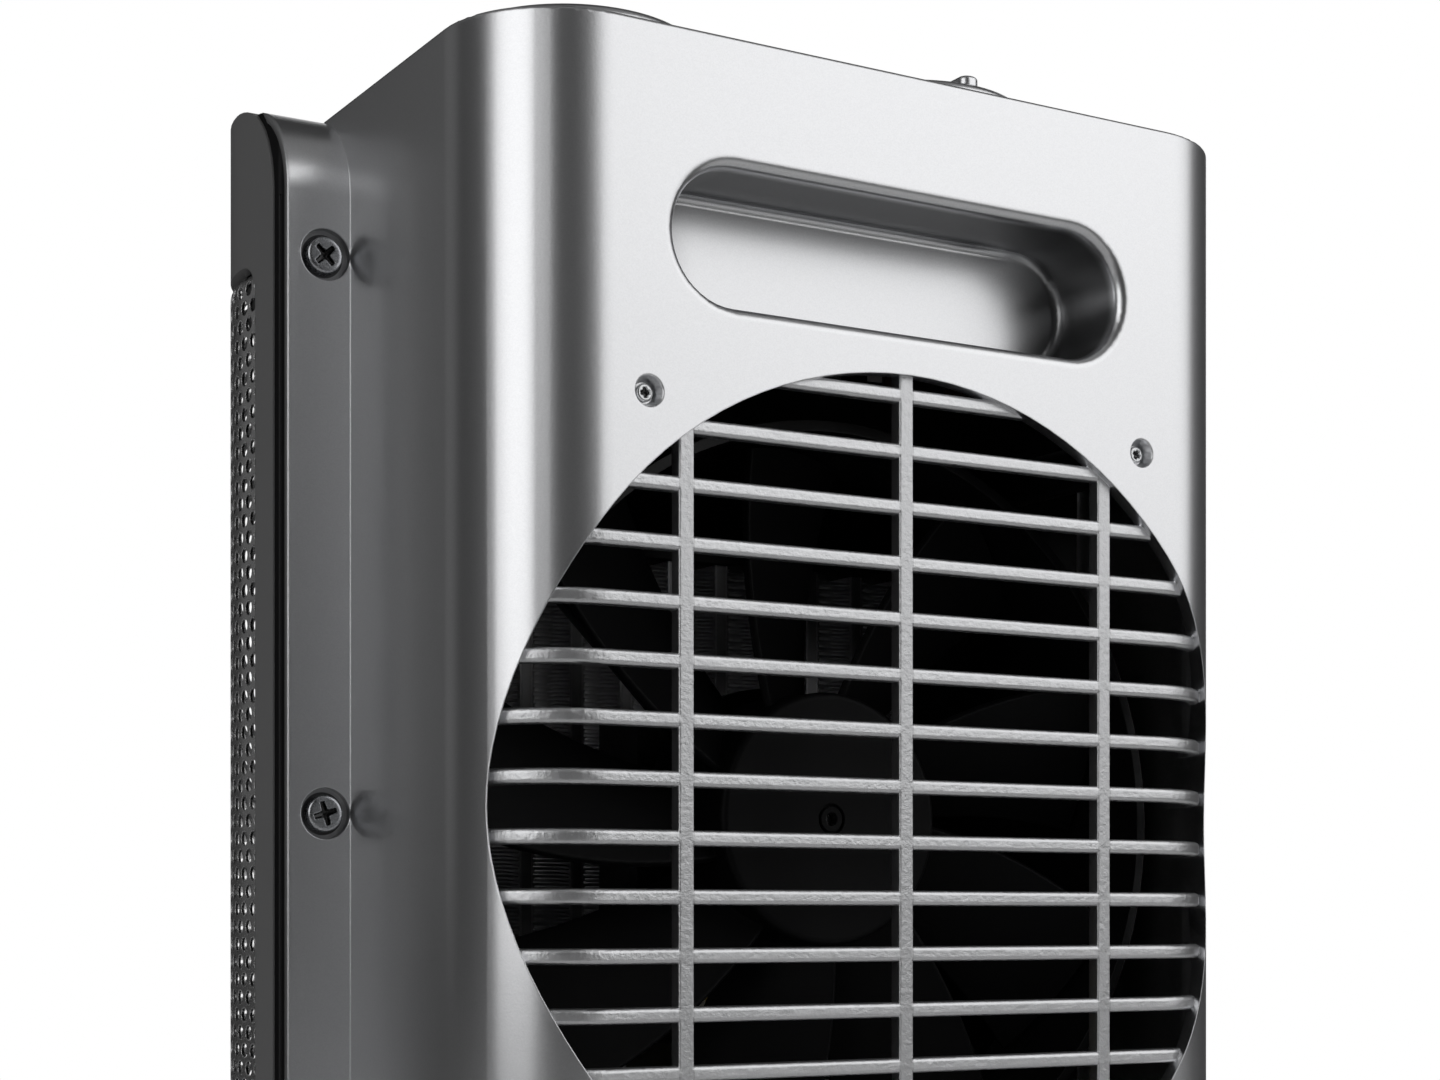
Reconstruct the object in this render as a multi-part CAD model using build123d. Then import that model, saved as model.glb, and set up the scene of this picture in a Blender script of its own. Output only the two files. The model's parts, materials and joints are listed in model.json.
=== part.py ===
from build123d import *
import os
from math import cos, pi, radians, sin, sqrt, tan

# Free-standing fan heater. Millimetres, +Z up, the front faces -Y and the air inlet grille faces +Y.
# Depths are counted forwards from the flat rear face, heights from the floor.

# Whole object
body_width = 166.8
body_height = 270.6
frame_width = 191.6
overall_depth = 123.0
foot_height = 4.0
body_wall = 3.0
corner_round = 22.0
edge_round = 0.9
seam = 0.3

# Flange round the front of the silver housing
flange_depth = 64.7
flange_thick = 1.6
flange_round = 18.5

# Black middle frame and dark front cover
cover_depth = 72.7
cover_rise = 2.75
cover_wall = 2.6
cover_rear_round = 20.0
cover_front_round = 12.0
cover_corner_round = 32.0
frame_bar = 14.8
mid_frame_bar = 12.0
frame_crown = 2.0
groove_width = 0.9
groove_depth = 0.7

# Window in the cover and the steel mesh in it
window_depth = 82.3
window_margin = 28.0
window_round = 7.0
mesh_thick = 0.8
mesh_inset = 1.3
mesh_lean = 4.5
mesh_corner_round = 30.0
mesh_edge_round = 3.0
mesh_return = 2.8
mesh_tuck = 2.0
retainer_thick = 2.0
retainer_lap = 6.0
retainer_bar = 7.0
mesh_screw_x = 60.0
mesh_screw_rise = 3.0
mesh_pad = 0.8
hidden_tail = 12.0

# Inlet grille, moulded in the rear wall
grille_radius = 80.3
grille_inset = 1.4
slat_count = 16
slat_pitch = 10.25
slat_height = 2.8
slat_thick = 2.0
slat_round = 0.9
rib_width = 3.07
rib_thick = 3.0
rib_round = 0.4
rib_spacing = 46.5

# Handle recess in the rear wall
handle_width = 98.8
handle_height = 24.4
handle_drop = 35.0
handle_depth = 19.0
handle_wall = 2.2
handle_lip = 2.2
handle_inner_round = 2.0

# Screws through the flange and through the rear wall
flange_screw_x = 88.3
flange_screw_spacing = 105.4
middle_screw_rise = 0.6
recess_radius = 4.9
recess_depth = 1.8
recess_floor = 1.9
recess_wall = 1.1
head_radius = 3.5
post_web = 4.0
head_height = 1.9
flange_shank = 1.7
flange_screw_length = 13.0
wall_screw_x = 54.7
wall_screw_z = 71.4
pocket_radius = 2.75
pocket_floor_radius = 1.95
pocket_depth = 2.5
pocket_lip = 0.35
wall_boss_radius = 4.8
wall_boss_depth = 12.0
wall_head_radius = 1.6
wall_head_height = 1.0
wall_shank = 1.0
wall_screw_length = 16.0
thread_play = 0.05
hole_play = 0.25

# Fan and its shroud
fan_radius = 72.0
fan_depth = 26.5
fan_length = 21.0
hub_radius = 24.5
hub_wall = 2.2
hub_hole = 1.3
hub_groove_radius = 3.0
hub_groove_width = 0.6
hub_groove_depth = 0.9
blade_count = 9
blade_thick = 1.7
root_chord = 20.0
tip_chord = 37.0
root_pitch = 38.0
tip_pitch = 27.0
blade_sweep = 12.0
fan_gap = 2.0
ring_wall = 2.0
ring_depth = 24.0
plate_depth = 50.0
plate_thick = 2.5
plate_half_width = 79.2
plate_half_height = 89.5
post_radius = 4.5
spoke_width = 7.0
motor_ring_radius = 27.0
motor_ring_width = 5.0

# Motor
shaft_radius = 2.0
shaft_start = 28.7
shaft_length = 55.3
shaft_play = 0.04
stator_half_width = 25.0
stator_rise = 21.0
stator_drop = 44.0
stator_depth = 59.0
stator_thick = 16.0
rotor_radius = 12.0
rotor_gap = 0.5
leg_height = 8.0
bobbin_half = 15.0
bobbin_wall = 1.2
winding_thick = 7.0
bracket_thick = 2.5
bracket_height = 15.0
bush_radius = 5.0
bush_length = 5.0
motor_screw_x = 19.5
motor_shank = 1.6

# Heater
heater_depth = 86.0
heater_thick = 18.0
heater_frame_half = 64.0
heater_window_half = 57.5
fin_columns = 10
bar_width = 2.2
fin_pitch = 2.4
fin_sheet = 0.45
fin_depth = 14.0
funnel_half = 77.0
funnel_wall = 2.0
heater_screw_at = 60.0
cutout_x = 17.6
cutout_radius = 8.5
cutout_cap = 5.8
cutout_height = 8.0
cutout_rise = 12.0

# Controls
knob_x = 39.8
knob_depth = 58.9
knob_radius = 25.5
knob_rim = 15.6
knob_gap = 1.3
knob_wall = 2.0
knob_edge = 2.0
knob_dish = 1.2
knob_dish_rim = 3.2
knob_hub_wall = 2.6
knob_hub_rise = 1.5
grip_width = 4.5
grip_rise = 2.0
grip_length = 48.0
thermostat_turn = 62.0
spindle_radius = 3.0
spindle_play = 0.05
spindle_hole = 4.2
spindle_hold = 9.0
spindle_flat = 1.5
spindle_flat_rise = 3.0
spindle_top_gap = 2.5
control_post = 15.0
control_post_radius = 3.6
control_screw_pitch = 10.0
control_plate_thick = 1.2
control_plate_half = 70.0
control_plate_width = 28.0
thermostat_size = 34.0
thermostat_height = 15.0
switch_radius = 17.0
switch_height = 18.0
tab_half = 3.15
tab_thick = 0.8
tab_length = 8.0
tab_root = 1.0
thermostat_tab_x = 9.0
thermostat_tab_depth = 4.0
thermostat_half_depth = 13.0
switch_tab_ring = 11.0
switch_tabs = 4
control_screw_x = 64.0
control_shank = 1.4

# Feet, cord inlet and terminal block
foot_radius = 8.0
foot_x = 62.0
rear_foot_depth = 16.0
front_foot_depth = 101.0
foot_stem = 2.0
gland_x = 0.0
gland_z = 26.0
gland_bore = 3.6
gland_radius = 6.0
gland_flange = 8.5
gland_flange_thick = 1.5
gland_length = 14.0
clamp_bore = 3.1
clamp_screw_x = 12.0
clamp_thick = 3.5
clamp_height = 10.0
block_width = 44.0
block_height = 14.0
block_thick = 12.0
block_x = 46.0
block_poles = 4
block_stand = 5.0
block_screw_inset = 5.0
boss_radius = 3.2
boss_root = 0.5

# Worked out from the sizes above
rear_y = overall_depth / 2
mid_z = foot_height + body_height / 2
top_z = foot_height + body_height
half_height = body_height / 2
cover_half_height = half_height + cover_rise
window_half = half_height - window_margin
knob_y = rear_y - knob_depth
funnel_depth = plate_depth + plate_thick
clamp_depth = gland_length + seam
block_screw_reach = block_width / 2 - block_screw_inset
block_screw_places = [block_x - block_screw_reach, block_x + block_screw_reach]
screw_rows = [-flange_screw_spacing, middle_screw_rise, flange_screw_spacing]
mesh_screw_places = [(x, mid_z + z * (window_half + mesh_screw_rise)) for x in (-mesh_screw_x, mesh_screw_x)
                     for z in (-1, 1)]
axis_places = [(x, z) for x in (-wall_screw_x, wall_screw_x) for z in (-wall_screw_z, wall_screw_z)]


def block(x0, x1, t0, t1, z0, z1):
    """A box between two X places, two depths and two heights."""
    middle = Pos((x0 + x1) / 2, rear_y - (t0 + t1) / 2, (z0 + z1) / 2)
    return middle * Box(x1 - x0, t1 - t0, z1 - z0)


def rear_plane(t, x=0.0, z=0.0):
    """A plane at a depth, seen from the rear, whose extrusions run towards the front."""
    return Plane(origin=(x, rear_y - t, z), x_dir=(1, 0, 0), z_dir=(0, -1, 0))


def rod(radius, t, length, x=0.0, z=0.0):
    """A round bar that runs forwards from a depth."""
    return extrude(rear_plane(t, x, z) * Circle(radius), amount=length)


def column(radius, z, height, x=0.0, y=0.0):
    """A round bar that stands on a height."""
    return extrude(Plane(origin=(x, y, z)) * Circle(radius), amount=height)


def rounded(length, width, far_round, near_round):
    """A rectangle whose corners at its +x end and at its -x end have their own radii."""
    face = Rectangle(length, width)
    if far_round:
        face = fillet(face.vertices().group_by(Axis.X)[-1], far_round)
    if near_round:
        face = fillet(face.vertices().group_by(Axis.X)[0], near_round)
    return face


def side_slab(t0, t1, half, rear_round, front_round, width):
    """A bar across the object whose outline is drawn in the side view."""
    plane = Plane(origin=(0, rear_y - (t0 + t1) / 2, mid_z), x_dir=(0, 1, 0), z_dir=(1, 0, 0))
    return extrude(plane * rounded(t1 - t0, 2 * half, rear_round, front_round), amount=width / 2, both=True)


def plan_slab(t0, t1, width, rear_round, front_round, z0, z1):
    """An upright body whose outline is drawn in the plan view."""
    plane = Plane(origin=(0, rear_y - (t0 + t1) / 2, z0), x_dir=(0, 1, 0), z_dir=(0, 0, 1))
    return extrude(plane * rounded(t1 - t0, width, rear_round, front_round), amount=z1 - z0)


def joined(solids):
    """Several solids fused, or grouped where they stand apart."""
    whole = Part()
    for solid in solids:
        whole = whole + solid
    return whole


def cover_envelope(grow):
    """The outside of the front cover in the side view, for what has to clear it."""
    half = cover_half_height + grow
    return side_slab(cover_depth - grow, overall_depth + 9, half, cover_rear_round + grow, 0, frame_width + 9)


# Silver rear housing
def housing_shell():
    """Rear wall, side walls, top and floor of the silver housing."""
    front = flange_depth + flange_thick
    outer = plan_slab(0, front, body_width, corner_round, 0, foot_height, top_z)
    rims = outer.faces().sort_by(Axis.Z)
    edges = rims[0].edges() + rims[-1].edges()
    outer = fillet([e for e in edges if e.center().Y > rear_y - front + 0.1], edge_round)
    inner = plan_slab(
        body_wall, front + 1, body_width - 2 * body_wall, corner_round - body_wall, 0,
        foot_height + body_wall, top_z - body_wall,
    )
    return outer - inner


def flange_inside():
    """The space inside the bent flange, in the side view."""
    half = half_height - flange_thick
    return side_slab(flange_depth + flange_thick, overall_depth, half, flange_round - flange_thick, 0, frame_width + 9)


def wall_opening(grow):
    """The space between the housing's walls in front of the flange."""
    return block(
        -body_width / 2 + body_wall - grow, body_width / 2 - body_wall + grow, flange_depth - 1, overall_depth,
        foot_height + body_wall, top_z - body_wall,
    )


def housing_lips():
    """The walls run on forwards: the top and the floor to the cover, the sides to the bent flange."""
    end = cover_depth + cover_rear_round
    tube = block(-body_width / 2, body_width / 2, flange_depth, end, foot_height, top_z)
    tube = fillet(tube.edges().filter_by(Axis.Y), edge_round)
    sides = flange_inside() & wall_opening(body_wall + 1)
    return tube - wall_opening(0) - sides - cover_envelope(frame_crown)


def housing_flange():
    """The strip on each side and the top and bottom lips, which bend forwards together."""
    band = side_slab(flange_depth, cover_depth + cover_rear_round, half_height, flange_round, 0, frame_width)
    return band - flange_inside() - cover_envelope(frame_crown) - wall_opening(0)


def grille_slat(z):
    """One bar across the grille, set back from the wall's face, which follows the corners of the housing."""
    low = z - slat_height / 2
    inset = grille_inset
    outer = plan_slab(inset, flange_depth, body_width - 2 * inset, corner_round - inset, 0, low, low + slat_height)
    outer = fillet([e for e in outer.edges().filter_by(lambda e: abs(e.tangent_at(0.5).Z) < 0.1)
                    if e.center().Y > rear_y - flange_depth + 0.1], slat_round)
    inset = grille_inset + slat_thick
    inner = plan_slab(
        inset, flange_depth + 1, body_width - 2 * inset, corner_round - inset, 0, low - 1, low + slat_height + 1,
    )
    return (outer - inner) & rod(grille_radius + 0.5, -1, corner_round + 1, 0, mid_z)


def grille_rib(x):
    """One upright rib of the grille, level with the slats in front and deeper behind them."""
    reach = sqrt(grille_radius ** 2 - x ** 2) + 0.5
    rib = block(x - rib_width / 2, x + rib_width / 2, grille_inset, grille_inset + rib_thick, mid_z - reach, mid_z + reach)
    return fillet(rib.edges().filter_by(Axis.Z), rib_round)


def handle_pocket(grow, depth):
    """The stadium of the handle recess, grown by a wall, from the rear face inwards."""
    plane = rear_plane(0, 0, top_z - handle_drop)
    outline = SlotOverall(handle_width + 2 * grow, handle_height + 2 * grow)
    return extrude(plane * outline, amount=depth)


def wall_pocket(x, z):
    """The dished pocket of a rear wall screw, with a rounded mouth."""
    mouth = rear_plane(0, x, z) * Circle(pocket_radius)
    floor = rear_plane(pocket_depth, x, z) * Circle(pocket_floor_radius)
    return loft([mouth, floor])


def at_pocket_mouth(edge):
    """True of the circles where the pockets meet the rear face."""
    return edge.center().Y > rear_y - 0.01 and edge.length < 2.1 * pi * pocket_radius


def rear_housing():
    shell = housing_shell() + housing_flange() + housing_lips()
    shell = shell - rod(grille_radius, -1, corner_round + 1, 0, mid_z)
    for i in range(slat_count):
        shell = shell + grille_slat(mid_z + (i - (slat_count - 1) / 2) * slat_pitch)
    for x in (-rib_spacing, 0, rib_spacing):
        shell = shell + grille_rib(x)
    shell = shell + handle_pocket(handle_wall, handle_depth + handle_wall)
    pocket = handle_pocket(0, handle_depth)
    pocket = fillet(pocket.faces().sort_by(Axis.Y)[0].edges(), handle_inner_round)
    shell = shell - pocket
    upper_face = shell.faces().filter_by(Axis.Y).group_by(Axis.Y)[-1].sort_by(Axis.Z)[-1]
    lip = [e for e in upper_face.edges() if abs(e.center().Z - (top_z - handle_drop)) < handle_height / 2 + 0.1
           and abs(e.center().X) < handle_width / 2 + 0.1]
    shell = fillet(lip, handle_lip)
    for x, z in axis_places:
        boss = rod(wall_boss_radius, boss_root, wall_boss_depth - boss_root, x, mid_z + z)
        pilot = rod(wall_shank + hole_play, pocket_depth - 1, wall_boss_depth, x, mid_z + z)
        shell = shell + boss - wall_pocket(x, mid_z + z) - pilot
    mouths = shell.edges().filter_by(GeomType.CIRCLE).filter_by(at_pocket_mouth)
    shell = fillet(mouths, pocket_lip)
    for side in (-1, 1):
        for row in screw_rows:
            x = side * flange_screw_x
            z = mid_z + row
            boss = rod(recess_radius + recess_wall, flange_depth + boss_root,
                       recess_depth + recess_floor - boss_root, x, z)
            recess = rod(recess_radius, flange_depth - 1, recess_depth + 1, x, z)
            hole = rod(flange_shank + hole_play, flange_depth, recess_depth + recess_floor + 1, x, z)
            shell = shell + boss - recess - hole
    for x in (-knob_x, knob_x):
        shell = shell - column(spindle_hole, top_z - body_wall - 1, body_wall + 2, x, knob_y)
    for x in (-control_screw_x, control_screw_x):
        post = column(control_post_radius, plate_top(), control_post + boss_root, x, knob_y)
        shell = shell + post - column(control_shank + thread_play, plate_top() - 1, control_post, x, knob_y)
    for x in (-foot_x, foot_x):
        shell = shell - column(foot_stem + thread_play, foot_height - 1, body_wall + 2, x, rear_y - rear_foot_depth)
    inlet = rod(gland_flange + 1.5, 0.5, body_wall + 2.5, gland_x, gland_z)
    seat = rod(gland_flange + thread_play, -1, gland_flange_thick + 1, gland_x, gland_z)
    bore = rod(gland_radius + thread_play, -1, body_wall + 5, gland_x, gland_z)
    shell = shell + inlet - seat - bore
    for x in block_screw_places:
        post = rod(boss_radius, body_wall - boss_root, block_stand + boss_root, x, gland_z)
        shell = shell + post - rod(control_shank + thread_play, body_wall + boss_root, block_stand, x, gland_z)
    for x in (-clamp_screw_x, clamp_screw_x):
        post = rod(boss_radius, body_wall - boss_root, clamp_depth - body_wall + boss_root, x, gland_z)
        shell = shell + post - rod(control_shank + thread_play, body_wall + 2, gland_length, x, gland_z)
    return shell


# Black frame between the housing and the cover
def mid_frame():
    rear = flange_depth + flange_thick + seam
    width = frame_width - 2 * seam
    solid = side_slab(rear, cover_depth + cover_rear_round, half_height - flange_thick - seam,
                      flange_round - flange_thick - seam, 0, width)
    solid = solid - cover_envelope(seam)
    inner_x = frame_width / 2 - frame_bar
    inner_half = half_height - mid_frame_bar
    solid = solid - block(-inner_x, inner_x, flange_depth, overall_depth, mid_z - inner_half, mid_z + inner_half)
    lip_x = body_width / 2 + seam
    lip_half = half_height - body_wall - seam
    for low, high in ((mid_z - half_height, mid_z - lip_half), (mid_z + lip_half, mid_z + half_height)):
        solid = solid - block(-lip_x, lip_x, flange_depth, overall_depth, low, high)
    crown = side_slab(flange_depth, cover_depth + cover_rear_round, half_height, flange_round, 0, width)
    crown = (crown & cover_envelope(frame_crown - seam)) - cover_envelope(seam)
    solid = solid + (crown - block(-inner_x, inner_x, 0, overall_depth, mid_z - inner_half, mid_z + inner_half))
    middle = (rear + cover_depth - seam) / 2
    for side in (-1, 1):
        edge = side * width / 2
        groove = block(edge - groove_depth, edge + groove_depth, middle - groove_width / 2,
                       middle + groove_width / 2, mid_z - half_height + flange_round,
                       mid_z + half_height - flange_round)
        solid = solid - groove
        for row in screw_rows:
            x = side * flange_screw_x
            seat = flange_depth + recess_depth + recess_floor
            pocket = rod(recess_radius + recess_wall + seam, flange_depth, seat - flange_depth, x, mid_z + row)
            hole = rod(flange_shank + hole_play, flange_depth, cover_depth, x, mid_z + row)
            solid = solid - pocket - hole
    return solid


# Front cover and mesh
def front_cover():
    low = mid_z - cover_half_height
    high = mid_z + cover_half_height
    solid = side_slab(cover_depth, overall_depth, cover_half_height, cover_rear_round, cover_front_round, frame_width)
    solid = solid & plan_slab(cover_depth - 1, overall_depth, frame_width, 0, cover_corner_round, low - 1, high + 1)
    inner = side_slab(
        cover_depth + cover_wall, overall_depth - cover_wall, cover_half_height - cover_wall,
        cover_rear_round - cover_wall, cover_front_round - cover_wall, frame_width - 2 * cover_wall,
    )
    inner = inner & plan_slab(
        cover_depth - 2, overall_depth - cover_wall, frame_width - 2 * cover_wall, 0,
        cover_corner_round - cover_wall, low, high,
    )
    mouth = cover_half_height - cover_rear_round
    inner = inner + block(
        -frame_width / 2 + cover_wall, frame_width / 2 - cover_wall, cover_depth - 1, cover_depth + cover_wall + 2,
        mid_z - mouth, mid_z + mouth,
    )
    solid = solid - inner
    solid = solid - side_slab(window_depth, overall_depth + 9, window_half, window_round, 0, frame_width + 9)
    rebate = mesh_body(seam, window_half) - block(
        -frame_width, frame_width, 0, window_depth - mesh_tuck - 0.2, 0, top_z)
    solid = solid - rebate
    for side in (-1, 1):
        for row in screw_rows:
            solid = solid + cover_post(side, row)
    for x, z in mesh_screw_places:
        pad = rod(2.4 * control_shank, overall_depth - cover_wall - mesh_pad, 2 * mesh_pad, x, z)
        hole = rod(control_shank + thread_play, overall_depth / 2, overall_depth / 2 - 1, x, z)
        solid = solid + pad - hole
    for x in (-foot_x, foot_x):
        solid = solid - column(foot_stem + thread_play, 0, foot_height + 6, x, rear_y - front_foot_depth)
    return solid


def cover_post(side, row):
    """A screw post with the web that ties it to the side wall of the cover."""
    x = side * flange_screw_x
    start = cover_depth - seam
    end = window_depth - mesh_tuck - seam
    post = rod(recess_radius, start, end - start, x, mid_z + row)
    wall = side * (frame_width / 2 - cover_wall + 0.5)
    web = block(min(x, wall), max(x, wall), cover_depth, end, mid_z + row - post_web / 2, mid_z + row + post_web / 2)
    return post + web - rod(flange_shank + thread_play, start - 1, window_depth, x, mid_z + row)


def mesh_outline(shrink):
    """Plan outline of the mesh: sides that lean outwards, two round corners and a flat front."""
    lean = tan(radians(mesh_lean))
    rear_t = window_depth - mesh_tuck - hidden_tail
    side_x = frame_width / 2 - mesh_inset - lean * (window_depth - rear_t)
    corner_x = side_x + lean * (overall_depth - rear_t)
    points = [(side_x, rear_y - rear_t), (corner_x, -rear_y), (-corner_x, -rear_y), (-side_x, rear_y - rear_t)]
    path = FilletPolyline(*points, radius=mesh_corner_round)
    face = make_face(path + Line(points[-1], points[0]))
    return offset(face, -shrink) if shrink else face


def mesh_body(grow, half):
    """The upright body inside the mesh's outline."""
    return extrude(Plane(origin=(0, 0, mid_z - half)) * mesh_outline(-grow), amount=2 * half)


def front_mesh():
    half = window_half - seam
    outer = mesh_body(0, half)
    outer = fillet([e for f in (outer.faces().sort_by(Axis.Z)[0], outer.faces().sort_by(Axis.Z)[-1])
                    for e in f.edges()], mesh_edge_round)
    inner = mesh_body(-mesh_thick, half - mesh_thick)
    inner = fillet([e for f in (inner.faces().sort_by(Axis.Z)[0], inner.faces().sort_by(Axis.Z)[-1])
                    for e in f.edges()], mesh_edge_round - mesh_thick)
    tray = outer - inner - mesh_body(-mesh_return, half + 1)
    return tray - block(-frame_width, frame_width, 0, window_depth - mesh_tuck, 0, top_z)


def mesh_retainer(side):
    """Bar that follows the mesh round its corners and clamps its edge to the cover, above or below the window."""
    near = window_half - retainer_bar
    far = window_half + retainer_lap
    start = cover_wall + mesh_pad
    bar = mesh_body(-start, far) - mesh_body(-start - retainer_thick, far + 1)
    low, high = sorted((mid_z + side * near, mid_z + side * far))
    bar = bar & block(-frame_width, frame_width, window_depth - mesh_tuck, overall_depth, low, high)
    for end in (-1, 1):
        bar = bar - rod(recess_radius + seam, 0, window_depth, end * flange_screw_x, mid_z + side * flange_screw_spacing)
    for x, z in mesh_screw_places:
        bar = bar - rod(control_shank + thread_play, overall_depth / 2, overall_depth, x, z)
    return bar


def upper_mesh_retainer():
    return mesh_retainer(1)


def lower_mesh_retainer():
    return mesh_retainer(-1)


# Fasteners
def pan_screw(radius, height, shank, length, drive):
    """A cross-recess pan-head screw that stands on the origin: head above, shank below."""
    head = extrude(Circle(radius), amount=height)
    head = fillet(head.edges().sort_by(Axis.Z)[-1], height * 0.55)
    cross = Box(drive * 2, drive * 0.5, height * 1.2) + Box(drive * 0.5, drive * 2, height * 1.2)
    cross = cross + Cone(0.4 * drive, 0.8 * drive, height * 1.2)
    shaft = extrude(Plane(origin=(0, 0, -length)) * Circle(shank), amount=length)
    shaft = chamfer(shaft.edges().sort_by(Axis.Z)[0], shank * 0.5)
    return head - Pos(0, 0, height * 1.0) * cross + shaft


def screw_at(screw, t, x, z, turn, forwards=True):
    """Puts a screw with the underside of its head at a depth, driven forwards or backwards."""
    z_dir = (0, 1, 0) if forwards else (0, -1, 0)
    place = Plane(origin=(x, rear_y - t, z), x_dir=(cos(radians(turn)), 0, sin(radians(turn))), z_dir=z_dir)
    return place * screw


def flange_screws():
    screw = pan_screw(head_radius, head_height, flange_shank, flange_screw_length, 1.5)
    turns = iter([34, 12, 70, 25, 50, 8])
    return joined([screw_at(screw, flange_depth + recess_depth, side * flange_screw_x, mid_z + row, next(turns))
                   for side in (-1, 1) for row in screw_rows])


def rear_wall_screws():
    screw = pan_screw(wall_head_radius, wall_head_height, wall_shank, wall_screw_length, 1.1)
    return joined([screw_at(screw, pocket_depth, x, mid_z + z, 20 + x * z) for x, z in axis_places])


def mesh_screws():
    screw = pan_screw(2.6, 1.6, control_shank, 3.6, 0.9)
    seat = overall_depth - cover_wall - mesh_pad - retainer_thick
    return joined([screw_at(screw, seat, x, z, 30) for x, z in mesh_screw_places])


# Fan shroud with the funnel to the heater
def fan_shroud():
    inner = fan_radius + fan_gap
    outer = inner + ring_wall
    end = plate_depth + plate_thick
    solid = block(-plate_half_width, plate_half_width, plate_depth, end,
                  mid_z - plate_half_height, mid_z + plate_half_height)
    solid = solid + rod(outer, ring_depth, end - ring_depth, 0, mid_z)
    solid = solid - rod(inner, ring_depth - 1, end - ring_depth + 2, 0, mid_z)
    for x, z in axis_places:
        solid = solid + rod(post_radius, wall_boss_depth, end - wall_boss_depth, x, mid_z + z)
    ring = rod(motor_ring_radius, plate_depth, plate_thick, 0, mid_z)
    ring = ring - rod(motor_ring_radius - motor_ring_width, plate_depth - 1, plate_thick + 2, 0, mid_z)
    spokes = Part()
    for turn in (0, 90, 180, 270):
        reach = (inner + motor_ring_radius) / 2
        length = inner + ring_wall / 2 - motor_ring_radius + 1
        arm = Rot(0, 45 + turn, 0) * Pos(reach, 0, 0) * Box(length + 1.6, plate_thick, spoke_width)
        spokes = spokes + arm
    spokes = Pos(0, rear_y - plate_depth - plate_thick / 2, mid_z) * spokes
    solid = solid + ring + spokes
    ears = Part()
    for side in (-1, 1):
        x = side * motor_screw_x
        ear = rod(4.0, plate_depth, stator_depth - bracket_thick - plate_depth, x, mid_z)
        tie = block(min(x, side * motor_ring_radius), max(x, side * motor_ring_radius) - 0.5, plate_depth, end,
                    mid_z - 3, mid_z + 3)
        ears = ears + ear + tie
    solid = solid + ears + funnel()
    for side in (-1, 1):
        solid = solid - rod(motor_shank + thread_play, plate_depth - 1, 20, side * motor_screw_x, mid_z)
    for x, z in axis_places:
        solid = solid - rod(wall_shank + thread_play, wall_boss_depth - 1, wall_screw_length, x, mid_z + z)
    for x in (-heater_screw_at, heater_screw_at):
        for z in (-heater_screw_at, heater_screw_at):
            solid = solid - rod(control_shank + thread_play, heater_depth - 8, 9, x, mid_z + z)
    return solid


def funnel():
    """Square funnel from the fan's plate to the heater, open at both ends, with four screw posts."""
    rear = rear_plane(funnel_depth - 0.5, 0, mid_z) * Rectangle(2 * funnel_half, 2 * funnel_half)
    front = rear_plane(heater_depth, 0, mid_z) * Rectangle(2 * heater_frame_half, 2 * heater_frame_half)
    inner_half = funnel_half - funnel_wall
    hole_rear = rear_plane(funnel_depth - 0.5, 0, mid_z) * Rectangle(2 * inner_half, 2 * inner_half)
    inner_front = heater_frame_half - funnel_wall
    hole_front = rear_plane(heater_depth, 0, mid_z) * Rectangle(2 * inner_front, 2 * inner_front)
    shell = loft([rear, front]) - loft([hole_rear, hole_front])
    for x in (-heater_screw_at, heater_screw_at):
        for z in (-heater_screw_at, heater_screw_at):
            shell = shell + rod(3.8, heater_depth - 8, 8, x, mid_z + z)
    return shell


def fan_blade(turn):
    """One wide blade, twisted and swept, cut off at the fan's radius."""
    sections = []
    for share in (0.0, 0.5, 1.0):
        radius = hub_radius - 1.5 + share * (fan_radius + 3 - hub_radius)
        chord = root_chord + share * (tip_chord - root_chord)
        pitch = root_pitch + share * (tip_pitch - root_pitch)
        plane = Plane(origin=(radius, 0, blade_sweep * share ** 2), x_dir=(0, 1, 0), z_dir=(1, 0, 0))
        sections.append(plane * Rot(0, 0, -90 + pitch) * rounded(chord, blade_thick, blade_thick * 0.3, blade_thick * 0.3))
    blade = loft(sections)
    keep = Rot(90, 0, 0) * Cylinder(fan_radius, 60)
    return Rot(0, turn, 0) * (blade & keep)


def fan_impeller():
    hub = rod(hub_radius, fan_depth, fan_length, 0, mid_z)
    hub = fillet(hub.edges().sort_by(Axis.Y)[-1], 1.5)
    hollow = rod(hub_radius - hub_wall, fan_depth + hub_wall, fan_length, 0, mid_z)
    hub = hub - hollow + rod(shaft_radius + 3.0, fan_depth + 0.5, 15, 0, mid_z)
    middle = rear_y - fan_depth - fan_length / 2
    for i in range(blade_count):
        hub = hub + Pos(0, middle, mid_z) * fan_blade(360 * i / blade_count)
    hub = hub - rod(hub_radius - hub_wall, fan_depth + 17.5, fan_length, 0, mid_z)
    groove = rod(hub_groove_radius, fan_depth - 1, hub_groove_depth + 1, 0, mid_z)
    groove = groove - rod(hub_groove_radius - hub_groove_width, fan_depth - 1, hub_groove_depth + 1, 0, mid_z)
    hub = hub - groove - rod(hub_hole, fan_depth - 1, fan_length, 0, mid_z)
    return hub - rod(shaft_radius + shaft_play, shaft_start - seam, fan_length, 0, mid_z)


def fan_lock_ring():
    """Push-on ring that holds the fan on the shaft."""
    ring = rod(shaft_radius + 2.2, fan_depth + 15.5, 1.0, 0, mid_z)
    return ring - rod(shaft_radius + shaft_play, fan_depth, 40, 0, mid_z)


# Motor
def motor_shaft():
    shaft = rod(shaft_radius, shaft_start, shaft_length, 0, mid_z)
    return chamfer(shaft.edges().filter_by(GeomType.CIRCLE), 0.3)


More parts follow.
